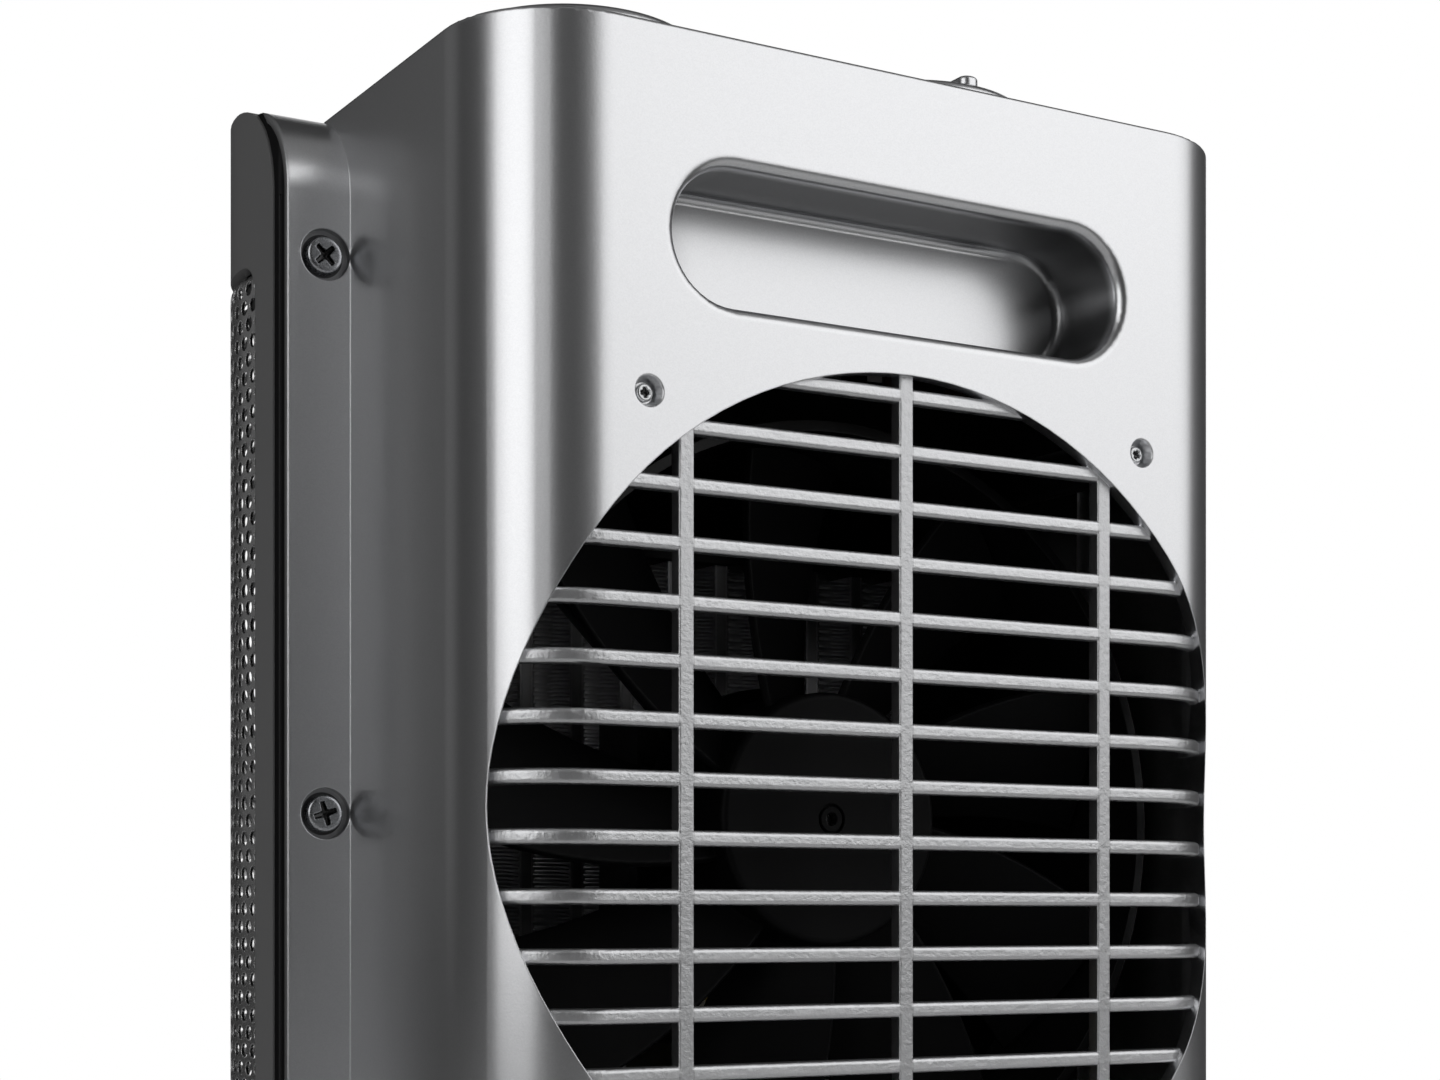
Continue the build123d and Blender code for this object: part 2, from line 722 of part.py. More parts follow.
def motor_rotor():
    rotor = rod(rotor_radius, stator_depth + rotor_gap, stator_thick - 2 * rotor_gap, 0, mid_z)
    return rotor - rod(shaft_radius + shaft_play, stator_depth - 2, stator_thick + 4, 0, mid_z)


def motor_stator():
    end = stator_depth + stator_thick
    core = block(-stator_half_width, stator_half_width, stator_depth, end, mid_z - stator_drop, mid_z + stator_rise)
    core = core - rod(rotor_radius + rotor_gap, stator_depth - 1, stator_thick + 2, 0, mid_z)
    window = block(-bobbin_half - 1, bobbin_half + 1, stator_depth - 1, end + 1,
                   mid_z - stator_drop + leg_height, mid_z - rotor_radius - 7)
    for x in (-motor_screw_x, motor_screw_x):
        core = core - rod(motor_shank + hole_play, stator_depth - 1, stator_thick + 2, x, mid_z)
    return core - window


def coil_bobbin():
    low = mid_z - stator_drop
    core = block(-bobbin_half, bobbin_half, stator_depth - bobbin_wall - seam, stator_depth + stator_thick + bobbin_wall + seam,
                 low - bobbin_wall - seam, low + leg_height + bobbin_wall + seam)
    ends = Part()
    for side in (-1, 1):
        x = side * (bobbin_half - 0.8)
        ends = ends + block(x - 0.8, x + 0.8, stator_depth - winding_thick, stator_depth + stator_thick + winding_thick,
                            low - winding_thick, low + leg_height + winding_thick)
    leg = block(-bobbin_half - 1, bobbin_half + 1, stator_depth - seam, stator_depth + stator_thick + seam,
                low - seam, low + leg_height + seam)
    return core + ends - leg


def coil_winding():
    low = mid_z - stator_drop
    span = bobbin_half - 1.6 - seam
    reach = winding_thick - 1.0
    solid = block(-span, span, stator_depth - reach, stator_depth + stator_thick + reach, low - reach,
                  low + leg_height + reach)
    solid = fillet(solid.edges().filter_by(Axis.X), 3.0)
    wall = bobbin_wall + seam
    return solid - block(-span - 1, span + 1, stator_depth - wall, stator_depth + stator_thick + wall, low - wall,
                         low + leg_height + wall)


def motor_bracket(t):
    """A strap across the stator that holds one shaft bush."""
    reach = motor_screw_x + 5
    strap = block(-reach, reach, t, t + bracket_thick, mid_z - bracket_height / 2, mid_z + bracket_height / 2)
    strap = strap - rod(bush_radius, t - 1, bracket_thick + 2, 0, mid_z)
    for x in (-motor_screw_x, motor_screw_x):
        strap = strap - rod(motor_shank + hole_play, t - 1, bracket_thick + 2, x, mid_z)
    return strap


def rear_motor_bracket():
    return motor_bracket(stator_depth - bracket_thick)


def front_motor_bracket():
    return motor_bracket(stator_depth + stator_thick)


def shaft_bushes():
    """Two sintered bushes with a collar outside their straps."""
    group = []
    rear = stator_depth - bracket_thick
    front = stator_depth + stator_thick
    for start, collar in ((rear, rear - 1.5), (front, front + bracket_thick)):
        bush = rod(bush_radius - 0.02, start, bracket_thick, 0, mid_z) + rod(bush_radius + 2, collar, 1.5, 0, mid_z)
        group.append(bush - rod(shaft_radius + shaft_play, start - 5, bush_length + 8, 0, mid_z))
    return joined(group)


def motor_screws():
    start = stator_depth + stator_thick + bracket_thick
    length = start - plate_depth - 2
    screw = pan_screw(3.2, 2.0, motor_shank, length, 1.2)
    return joined([screw_at(screw, start, x, mid_z, 40, False) for x in (-motor_screw_x, motor_screw_x)])


# Heating element
def heater_frame():
    end = heater_depth + heater_thick
    half = heater_frame_half
    solid = block(-half, half, heater_depth, end, mid_z - half, mid_z + half)
    hole = heater_window_half
    solid = solid - block(-hole, hole, heater_depth - 1, end + 1, mid_z - hole, mid_z + hole)
    for x in (-heater_screw_at, heater_screw_at):
        for z in (-heater_screw_at, heater_screw_at):
            solid = solid - rod(control_shank + hole_play, heater_depth - 1, heater_thick + 2, x, mid_z + z)
    for x in terminal_places():
        solid = solid - block(x - 3.3, x + 3.3, heater_depth + 8.4, heater_depth + 9.6, mid_z + hole - 1, mid_z + half + 1)
    return solid


def fin_width():
    """Width of one column of fins: the window less the bars, shared out."""
    return (2 * heater_window_half - (fin_columns - 1) * bar_width) / fin_columns


def heater_fins():
    """Columns of thin fins, each held between two side sheets."""
    width = fin_width()
    start = heater_depth + (heater_thick - fin_depth) / 2
    span = 2 * heater_window_half
    rows = int(span / fin_pitch)
    pitch = (span - fin_sheet) / rows
    outline = Rectangle(width, span)
    for i in range(rows):
        low = -span / 2 + fin_sheet + i * pitch
        gap = Rectangle(width - 2 * fin_sheet, pitch - fin_sheet)
        outline = outline - Pos(0, low + (pitch - fin_sheet) / 2) * gap
    group = []
    for i in range(fin_columns):
        x = -heater_window_half + width / 2 + i * (width + bar_width)
        group.append(extrude(rear_plane(start, x, mid_z) * outline, amount=fin_depth))
    return joined(group)


def ptc_bars():
    """Flat aluminium tubes that hold the ceramic stones, one between each two columns of fins."""
    width = fin_width()
    start = heater_depth + (heater_thick - fin_depth) / 2
    group = []
    for i in range(fin_columns - 1):
        x = -heater_window_half + width * (i + 1) + bar_width * i
        group.append(block(x, x + bar_width, start, start + fin_depth, mid_z - heater_window_half,
                           mid_z + heater_window_half))
    return joined(group)


def terminal_places():
    """The three blade terminals stand over the outer bars and the middle one."""
    width = fin_width()
    first = -heater_window_half + width + bar_width / 2
    step = width + bar_width
    return [first + step, first + 4 * step, first + 7 * step]


def heater_terminals():
    group = []
    for x in terminal_places():
        blade = block(x - 3.15, x + 3.15, heater_depth + 8.6, heater_depth + 9.4, mid_z + heater_window_half,
                      mid_z + heater_frame_half + 9)
        group.append(blade - rod(0.9, heater_depth, 20, x, mid_z + heater_frame_half + 6))
    return joined(group)


def heater_screws():
    screw = pan_screw(2.8, 1.8, control_shank, heater_thick + 6, 1.0)
    return joined([screw_at(screw, heater_depth + heater_thick, x, mid_z + z, 15, False)
                   for x in (-heater_screw_at, heater_screw_at) for z in (-heater_screw_at, heater_screw_at)])


def cutout_bracket():
    """Steel angle on the heater frame that holds the thermal cut-out."""
    base_z = mid_z + heater_frame_half
    low = cutout_x - cutout_radius - 2
    high = cutout_x + cutout_radius + 2
    foot = block(low, high, heater_depth + 0.5, heater_depth + heater_thick - 0.5, base_z, base_z + 1.0)
    wall = block(low, high, heater_depth + 0.5, heater_depth + 1.5, base_z, base_z + cutout_rise + cutout_radius + 1)
    return foot + wall - rod(cutout_cap + hole_play, heater_depth - 1, 4, cutout_x, base_z + cutout_rise)


def thermal_cutout():
    """Bimetal disc cut-out with two blade terminals."""
    z = mid_z + heater_frame_half + cutout_rise
    body = rod(cutout_cap, heater_depth - 1.5, 3.0, cutout_x, z)
    body = body + rod(cutout_radius, heater_depth + 1.5, cutout_height, cutout_x, z)
    for side in (-1, 1):
        x = cutout_x + side * 5
        start = heater_depth + 1 + cutout_height
        body = body + block(x - 2.4, x + 2.4, start, start + 8, z - 0.4, z + 0.4)
    return body


# Controls under the top wall
def plate_top():
    """Height of the control plate's upper face, which hangs on posts from the top wall."""
    return top_z - body_wall - control_post


def control_plate():
    high = plate_top()
    half = control_plate_width / 2
    solid = block(-control_plate_half, control_plate_half, knob_depth - half, knob_depth + half,
                  high - control_plate_thick, high)
    solid = fillet(solid.edges().filter_by(Axis.Z), 4.0)
    for x in (-knob_x, knob_x):
        solid = solid - column(spindle_hole, high - 5, 9, x, knob_y)
        for dx in (-control_screw_pitch, control_screw_pitch):
            solid = solid - column(control_shank + hole_play, high - 5, 9, x + dx, knob_y)
    for x in (-control_screw_x, control_screw_x):
        solid = solid - column(control_shank + hole_play, high - 5, 9, x, knob_y)
    return solid


def control_screws():
    """Two screws up into the posts and two down into each control."""
    screw = pan_screw(2.6, 1.6, control_shank, 6.0, 0.9)
    high = plate_top()
    under = Plane(origin=(0, 0, 0), x_dir=(1, 0, 0), z_dir=(0, 0, -1))
    group = []
    for x in (-control_screw_x, control_screw_x):
        group.append(Pos(x, knob_y, high - control_plate_thick) * (under * screw))
    for x in (-knob_x, knob_x):
        for dx in (-control_screw_pitch, control_screw_pitch):
            group.append(Pos(x + dx, knob_y, high) * screw)
    return joined(group)


def control_holes(x):
    """The two screw holes and the spindle bore in a control's body."""
    high = plate_top() - control_plate_thick
    cut = column(spindle_radius + spindle_play, high - spindle_hold, spindle_hold + 5, x, knob_y)
    for dx in (-control_screw_pitch, control_screw_pitch):
        cut = cut + column(control_shank + thread_play, high - 6, 8, x + dx, knob_y)
    return cut


def contact_tab(x, t, high):
    """A flat blade terminal that hangs from a control's underside."""
    return block(x - tab_half, x + tab_half, t - tab_thick / 2, t + tab_thick / 2, high - tab_length, high + tab_root)


def thermostat_body():
    high = plate_top() - control_plate_thick
    half = thermostat_size / 2
    deep = thermostat_half_depth
    solid = block(knob_x - half, knob_x + half, knob_depth - deep, knob_depth + deep, high - thermostat_height, high)
    solid = fillet(solid.edges().filter_by(Axis.Z), 2.0)
    for side in (-1, 1):
        x = knob_x + side * thermostat_tab_x
        solid = solid + contact_tab(x, knob_depth + thermostat_tab_depth, high - thermostat_height)
    return solid - control_holes(knob_x)


def switch_body():
    high = plate_top() - control_plate_thick
    solid = column(switch_radius, high - switch_height, switch_height, -knob_x, knob_y)
    solid = chamfer(solid.edges().filter_by(GeomType.CIRCLE).sort_by(Axis.Z)[0], 1.5)
    for i in range(switch_tabs):
        angle = radians(45 + 360 / switch_tabs * i)
        x = -knob_x + switch_tab_ring * cos(angle)
        t = knob_depth + switch_tab_ring * sin(angle)
        solid = solid + contact_tab(x, t, high - switch_height)
    return solid - control_holes(-knob_x)


def spindle(x, turn):
    """Turned spindle with a flat at its top, which drives the knob."""
    base = plate_top() - control_plate_thick - spindle_hold + seam
    top = top_z + knob_rim - knob_wall - spindle_top_gap
    rod_z = column(spindle_radius, base, top - base, x, knob_y)
    cut_low = top_z + spindle_flat_rise
    side = Box(10, 10, top - cut_low + 1, align=(Align.MIN, Align.CENTER, Align.MIN))
    flat = Pos(x, knob_y, cut_low) * Rot(0, 0, turn) * Pos(spindle_radius - spindle_flat, 0, 0) * side
    return rod_z - flat


def thermostat_spindle():
    return spindle(knob_x, thermostat_turn)


def switch_spindle():
    return spindle(-knob_x, 0)


def knob(x, turn):
    """Round knob: a cup with a dished top, a straight grip bar and a hub that fits the spindle."""
    low = top_z + knob_gap
    high = top_z + knob_rim
    cup = column(knob_radius, low, high - low, 0, 0)
    cup = fillet(cup.edges().sort_by(Axis.Z)[-1], knob_edge)
    dish = column(knob_radius - knob_dish_rim, high - knob_dish, 5, 0, 0)
    cup = cup - column(knob_radius - knob_wall, low - 1, high - low - knob_dish - knob_wall, 0, 0) - dish
    bar = Box(grip_width, grip_length, knob_dish + grip_rise + boss_root, align=(Align.CENTER, Align.CENTER, Align.MIN))
    bar = fillet(bar.edges().filter_by(Axis.Z), grip_width * 0.45)
    bar = fillet(bar.faces().sort_by(Axis.Z)[-1].edges(), 0.8)
    cup = cup + Pos(0, 0, high - knob_dish - boss_root) * bar
    hub_top = high - knob_dish - knob_wall
    hub_low = low + knob_hub_rise
    cup = cup + column(spindle_radius + knob_hub_wall, hub_low, hub_top - hub_low + boss_root, 0, 0)
    top = top_z + knob_rim - knob_wall - spindle_top_gap
    bore = column(spindle_radius + spindle_play, hub_low - 1, top - hub_low + 1 + seam, 0, 0)
    cut_low = top_z + spindle_flat_rise
    key = Pos(spindle_radius - spindle_flat + spindle_play, 0, cut_low + seam) * Box(
        10, 10, 20, align=(Align.MIN, Align.CENTER, Align.MIN))
    cup = cup - (bore - key)
    return Pos(x, knob_y, 0) * Rot(0, 0, turn) * cup


def thermostat_knob():
    return knob(knob_x, thermostat_turn)


def function_knob():
    return knob(-knob_x, 0)


# Feet, cord inlet and terminals
def rubber_feet():
    """Four push-in feet with a stem: taller ones under the housing, lower ones under the cover."""
    group = []
    places = [(rear_foot_depth, foot_height, body_wall), (front_foot_depth, foot_height - cover_rise, cover_wall)]
    for x in (-foot_x, foot_x):
        for t, height, wall in places:
            pad = column(foot_radius, 0, height, x, rear_y - t)
            pad = chamfer(pad.edges().sort_by(Axis.Z)[0], 0.6)
            stem = column(foot_stem, height - 0.2, wall + 0.2 + seam, x, rear_y - t)
            stem = stem + column(foot_stem + 1, height + wall + seam, 1.2, x, rear_y - t)
            group.append(pad + stem)
    return joined(group)


def cord_gland():
    """Bush in the rear wall that the mains cord passes through."""
    body = rod(gland_radius, 0, gland_length, gland_x, gland_z)
    body = body + rod(gland_flange, 0, gland_flange_thick, gland_x, gland_z)
    body = body + rod(gland_radius + 1.2, body_wall + 3.0 + seam, 2.0, gland_x, gland_z)
    return body - rod(gland_bore, -1, gland_length + 2, gland_x, gland_z)


def cord_clamp():
    """Bar whose own narrower bore grips the cord inside, on two posts of the housing."""
    reach = clamp_screw_x + clamp_height / 2
    bar = block(-reach, reach, clamp_depth, clamp_depth + clamp_thick, gland_z - clamp_height / 2,
                gland_z + clamp_height / 2)
    bar = fillet(bar.edges().filter_by(Axis.Y), 3.0)
    bar = bar - rod(clamp_bore, clamp_depth - 1, clamp_thick + 2, gland_x, gland_z)
    for x in (-clamp_screw_x, clamp_screw_x):
        bar = bar - rod(control_shank + hole_play, clamp_depth - 1, clamp_thick + 2, x, gland_z)
    return bar


def terminal_block():
    start = body_wall + block_stand
    solid = block(block_x - block_width / 2, block_x + block_width / 2, start, start + block_thick,
                  gland_z - block_height / 2, gland_z + block_height / 2)
    pitch = 2 * (block_screw_reach - 5) / (block_poles - 1)
    for i in range(block_poles):
        x = block_x + (i - (block_poles - 1) / 2) * pitch
        solid = solid - rod(1.5, start + 4, block_thick, x, gland_z - 1)
        solid = solid - column(1.3, gland_z - block_height, 2 * block_height, x, rear_y - start - 6)
    for x in block_screw_places:
        solid = solid - rod(control_shank + hole_play, start - 1, block_thick + 2, x, gland_z)
    return solid


def inlet_screws():
    """Two screws for the clamp bar and two for the terminal block."""
    group = []
    clamp = pan_screw(2.6, 1.6, control_shank, 8.0, 0.9)
    for x in (-clamp_screw_x, clamp_screw_x):
        group.append(screw_at(clamp, clamp_depth + clamp_thick, x, gland_z, 10, False))
    long_screw = pan_screw(2.6, 1.6, control_shank, block_thick + 4.0, 0.9)
    for x in block_screw_places:
        group.append(screw_at(long_screw, body_wall + block_stand + block_thick, x, gland_z, 10, False))
    return joined(group)


nodes = {
    "rear_housing": rear_housing,
    "mid_frame": mid_frame,
    "front_cover": front_cover,
    "front_mesh": front_mesh,
    "upper_mesh_retainer": upper_mesh_retainer,
    "lower_mesh_retainer": lower_mesh_retainer,
    "flange_screws": flange_screws,
    "rear_wall_screws": rear_wall_screws,
    "mesh_screws": mesh_screws,
    "fan_shroud": fan_shroud,
    "fan_impeller": fan_impeller,
    "fan_lock_ring": fan_lock_ring,
    "motor_shaft": motor_shaft,
    "motor_rotor": motor_rotor,
    "motor_stator": motor_stator,
    "coil_bobbin": coil_bobbin,
    "coil_winding": coil_winding,
    "rear_motor_bracket": rear_motor_bracket,
    "front_motor_bracket": front_motor_bracket,
    "shaft_bushes": shaft_bushes,
    "motor_screws": motor_screws,
    "heater_frame": heater_frame,
    "heater_fins": heater_fins,
    "ptc_bars": ptc_bars,
    "heater_terminals": heater_terminals,
    "heater_screws": heater_screws,
    "cutout_bracket": cutout_bracket,
    "thermal_cutout": thermal_cutout,
    "control_plate": control_plate,
    "control_screws": control_screws,
    "thermostat_body": thermostat_body,
    "thermostat_spindle": thermostat_spindle,
    "thermostat_knob": thermostat_knob,
    "switch_body": switch_body,
    "switch_spindle": switch_spindle,
    "function_knob": function_knob,
    "rubber_feet": rubber_feet,
    "cord_gland": cord_gland,
    "cord_clamp": cord_clamp,
    "terminal_block": terminal_block,
    "inlet_screws": inlet_screws,
}

os.makedirs("parts", exist_ok=True)
for name, make in nodes.items():
    export_step(make(), "parts/" + name + ".step")
    print("made", name)
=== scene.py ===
import json
import math
import bmesh
import bpy
import numpy as np
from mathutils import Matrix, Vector


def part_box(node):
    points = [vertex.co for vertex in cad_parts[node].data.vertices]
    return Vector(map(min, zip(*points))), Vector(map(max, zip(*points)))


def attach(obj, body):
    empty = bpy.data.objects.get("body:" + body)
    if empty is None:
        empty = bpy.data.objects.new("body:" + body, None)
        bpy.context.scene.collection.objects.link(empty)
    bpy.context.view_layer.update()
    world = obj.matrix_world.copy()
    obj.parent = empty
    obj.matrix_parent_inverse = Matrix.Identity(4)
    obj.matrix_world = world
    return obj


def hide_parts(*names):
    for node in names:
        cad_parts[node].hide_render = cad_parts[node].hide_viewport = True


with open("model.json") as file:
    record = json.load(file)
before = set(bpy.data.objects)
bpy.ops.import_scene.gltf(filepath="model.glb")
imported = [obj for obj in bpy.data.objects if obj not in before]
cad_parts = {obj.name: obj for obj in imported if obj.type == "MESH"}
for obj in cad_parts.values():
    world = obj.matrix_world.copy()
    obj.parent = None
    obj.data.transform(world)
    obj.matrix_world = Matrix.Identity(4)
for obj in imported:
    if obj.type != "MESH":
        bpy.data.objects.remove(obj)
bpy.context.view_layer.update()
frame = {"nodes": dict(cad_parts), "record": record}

# Fan heater. Metres, +Z up, the inlet grille faces +Y and the warm air leaves towards -Y.
print("frame loaded,", len(frame["nodes"]), "nodes")

mm = 0.001
softEdge = 0.3 * mm                       # rounding that the light sees on painted and moulded edges
metalEdge = 0.2 * mm                      # the same on bare metal
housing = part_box("rear_housing")
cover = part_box("front_cover")
rearY = housing[1].y                      # plane of the rear wall
topZ = housing[1].z                       # plane of the housing's top
midZ = (housing[0].z + housing[1].z) / 2  # height of the fan's axis and of the grille's centre


# Camera, level and with its lens shifted up
camera = dict(
    place=(254.47 * mm, 423.03 * mm, 120.16 * mm),
    aim=(-0.509, -0.8607, 0.0),           # level, so upright edges stay upright in the picture
    lens=60.2, sensor=36.0,
    shiftUp=0.263,                        # the picture shows the upper part of the heater only
    near=0.01, far=50)


def addCamera(s):
    # looks along the aim; the shift of the lens moves the picture up without tilting the camera
    data = bpy.data.cameras.new("camera")
    data.lens, data.sensor_width = s["lens"], s["sensor"]
    data.shift_y = s["shiftUp"]
    data.clip_start, data.clip_end = s["near"], s["far"]
    ob = bpy.data.objects.new("camera", data)
    ob.location = s["place"]
    ob.rotation_euler = Vector(s["aim"]).to_track_quat('-Z', 'Y').to_euler()
    bpy.context.scene.collection.objects.link(ob)
    bpy.context.scene.camera = ob


addCamera(camera)


# Light: each soft box is placed by the direction it is seen in from the heater: degrees round from +X, and degrees up
softBoxes = dict(
    behind=dict(round=131, up=26, away=1.1, wide=1.26, high=1.06, glow=0.97),
    crown=dict(round=121, up=52, away=1.0, wide=0.9, high=1.3, glow=0.12),
    side=dict(round=27, up=20, away=1.0, wide=0.68, high=0.84, glow=1.25),
    above=dict(round=0, up=62, away=1.0, wide=0.9, high=0.9, glow=0.1),
    edge=dict(round=-50, up=20, away=1.3, wide=0.50, high=1.0, glow=0.08),
    front=dict(round=-122, up=24, away=1.3, wide=1.1, high=0.9, glow=0.7))
studio = dict(fill=0.032, backdrop=1.0)


def addSoftBox(name, s):
    # a lamp on a ray from the heater's middle, facing it; its power is the glow times pi times its area, so the glow
    # is how bright the box itself looks
    turn, lift = math.radians(s["round"]), math.radians(s["up"])
    away = Vector((math.cos(turn) * math.cos(lift), math.sin(turn) * math.cos(lift), math.sin(lift)))
    lamp = bpy.data.lights.new(name, 'AREA')
    lamp.shape = 'RECTANGLE'
    lamp.size, lamp.size_y = s["wide"], s["high"]
    lamp.energy = s["glow"] * math.pi * s["wide"] * s["high"]
    ob = bpy.data.objects.new(name, lamp)
    ob.location = Vector((0, 0, midZ)) + away * s["away"]
    ob.rotation_euler = away.to_track_quat('Z', 'Y').to_euler()
    ob.visible_camera = False
    bpy.context.scene.collection.objects.link(ob)


for boxName, boxSettings in softBoxes.items():
    addSoftBox(boxName, boxSettings)


def addWorld(s):
    # the eye sees a white backdrop, the object is lit by a weak even fill
    world = bpy.data.worlds.new("studio")
    world.use_nodes = True
    tree = world.node_tree
    tree.nodes.clear()
    seen = tree.nodes.new('ShaderNodeBackground')
    fill = tree.nodes.new('ShaderNodeBackground')
    seen.inputs['Color'].default_value = (1, 1, 1, 1)
    seen.inputs['Strength'].default_value = s["backdrop"]
    fill.inputs['Color'].default_value = (1, 1, 1, 1)
    fill.inputs['Strength'].default_value = s["fill"]
    ray = tree.nodes.new('ShaderNodeLightPath')
    mix = tree.nodes.new('ShaderNodeMixShader')
    out = tree.nodes.new('ShaderNodeOutputWorld')
    tree.links.new(ray.outputs['Is Camera Ray'], mix.inputs[0])
    tree.links.new(fill.outputs[0], mix.inputs[1])
    tree.links.new(seen.outputs[0], mix.inputs[2])
    tree.links.new(mix.outputs[0], out.inputs['Surface'])
    bpy.context.scene.world = world
    bpy.context.scene.view_settings.view_transform = 'Standard'


addWorld(studio)
print("camera placed,", len(softBoxes), "soft boxes lit")


class Val:                                # an output socket; sums, products and comparisons on it add Math nodes
    def __init__(self, finish, socket):
        self.finish, self.socket = finish, socket

    def __add__(self, other):
        return self.finish.maths('ADD', self, other)

    def __radd__(self, other):
        return self.finish.maths('ADD', other, self)

    def __sub__(self, other):
        return self.finish.maths('SUBTRACT', self, other)

    def __rsub__(self, other):
        return self.finish.maths('SUBTRACT', other, self)

    def __mul__(self, other):
        return self.finish.maths('MULTIPLY', self, other)

    def __rmul__(self, other):
        return self.finish.maths('MULTIPLY', other, self)

    def __lt__(self, other):
        return self.finish.maths('LESS_THAN', self, other)

    def __gt__(self, other):
        return self.finish.maths('GREATER_THAN', self, other)


class Finish:                             # one material with a Principled shader
    def __init__(self, name, **fixed):
        self.mat = bpy.data.materials.new(name)
        self.mat.use_nodes = True
        self.tree = self.mat.node_tree
        self.shader = self.tree.nodes['Principled BSDF']
        for key, value in fixed.items():
            self.shader.inputs[key.replace("_", " ")].default_value = value

    # adds any node: its settings go in first, then the values or links of its sockets
    def node(self, kind, settings=None, sockets=None, pick=0):
        made = self.tree.nodes.new("ShaderNode" + kind)
        for key, value in (settings or {}).items():
            setattr(made, key, value)
        for key, value in (sockets or {}).items():
            if isinstance(value, Val):
                self.tree.links.new(value.socket, made.inputs[key])
            elif value is not None:
                made.inputs[key].default_value = value
        return Val(self, made.outputs[pick])

    def maths(self, operation, a, b=None):     # one step of arithmetic, on sockets or numbers
        return self.node('Math', {'operation': operation}, {0: a, 1: b})

    def size(self, value):                # a value without its sign
        return self.maths('ABSOLUTE', value)

    def away(self, a, b):                 # distance from an axis, from the two offsets to it
        return self.maths('SQRT', a * a + b * b)

    def place(self):                      # the piece's own coordinates, in metres
        return self.node('TexCoord', pick='Object')

    def axes(self):                       # the same, as x, y and z
        spot = self.place()
        return [self.node('SeparateXYZ', None, {0: spot}, pick=i) for i in range(3)]

    # soft noise from 0 to 1, finer for a larger scale; a stretch under 1 draws it out along that axis, and one over 1
    # packs it
    def noise(self, scale, detail=2.0, rough=0.5, spot=None, stretch=None):
        spot = spot or self.place()
        if stretch:
            spot = self.node('Mapping', None, {'Vector': spot, 'Scale': stretch})
        return self.node('TexNoise', None, {'Vector': spot, 'Scale': scale, 'Detail': detail, 'Roughness': rough})

    def cells(self, scale, spot):         # a random shade for each small cell
        colour = self.node('TexVoronoi', None, {'Vector': spot, 'Scale': scale}, pick='Color')
        return self.node('SeparateColor', None, {0: colour})

    def around(self, middle, noise, spread):   # a value that a noise moves by half the spread to each side
        return middle + (noise - 0.5) * spread

    # goes from one value to the other in a soft curve, while the input goes from low to high
    def smooth(self, value, low, high, toLow=0.0, toHigh=1.0):
        return self.node('MapRange', {'interpolation_type': 'SMOOTHSTEP'},
                         {'Value': value, 'From Min': low, 'From Max': high, 'To Min': toLow, 'To Max': toHigh})

    def mix(self, share, a, b, blend='MIX'):   # of two colours, each a socket or three numbers
        a, b = [shade if isinstance(shade, Val) else (*shade, 1) for shade in (a, b)]
        return self.node('Mix', {'data_type': 'RGBA', 'blend_type': blend}, {'Factor': share, 'A': a, 'B': b}, pick=2)

    def darker(self, shade, share):       # a colour less a share of its brightness
        left = 1 - share
        return self.mix(1.0, shade, self.node('CombineColor', None, {0: left, 1: left, 2: left}), 'MULTIPLY')

    # lifts the surface by height times distance, on top of the normal under it
    def bump(self, height, distance, strength=1.0, under=None):
        sockets = {'Height': height, 'Distance': distance, 'Strength': strength}
        if under:
            sockets['Normal'] = under
        return self.node('Bump', None, sockets)

    def rounded(self, radius):            # the normal, with sharp edges softened over a radius
        return self.node('Bevel', {'samples': 6}, {'Radius': radius})

    def set(self, **links):               # links sockets into the shader and gives the material
        for key, value in links.items():
            self.tree.links.new(value.socket, self.shader.inputs[key.replace("_", " ")])
        return self.mat


# Finishes, one for each material in the record
silver = dict(light=(0.85, 0.855, 0.87), dark=(0.80, 0.805, 0.82), flake=5200,
              peel=dict(scale=2400, detail=1.0, rough=0.5), deep=0.008 * mm, rough=0.30, spread=0.06)

# Where the housing's paint changes: its outer edge, the grille, and the painted shade in the handle recess and in the
# rings round the screws
rim = dict(start=93.6 * mm, round=0.9 * mm)
grille = dict(radius=80.2 * mm, ribSpacing=46.5 * mm, ribHalf=1.6 * mm, slatShade=0.93, ribShade=0.76,
              wrinkle=dict(scale=850, detail=4.0, rough=0.62), deep=0.16 * mm, strength=0.8, rougher=0.06)
# the handle recess, and the painted shade on its walls and at the ends of its back wall
handle = dict(halfWidth=50.4 * mm, halfHeight=13.2 * mm, drop=35.0 * mm, back=17.8 * mm, wallShade=0.36,
              wallFrom=1.5 * mm, wallTo=4.0 * mm, endFrom=34 * mm, endTo=48 * mm)
# the recesses round the flange screws: their place, and the painted shade on their floor and in a ring round the head
recess = dict(x=88.3 * mm, rows=(-105.4 * mm, 0.6 * mm, 105.4 * mm), radius=5.0 * mm, floor=65.1 * mm, shade=0.52,
              near=4.05 * mm, nearPaintedShade=0.12)


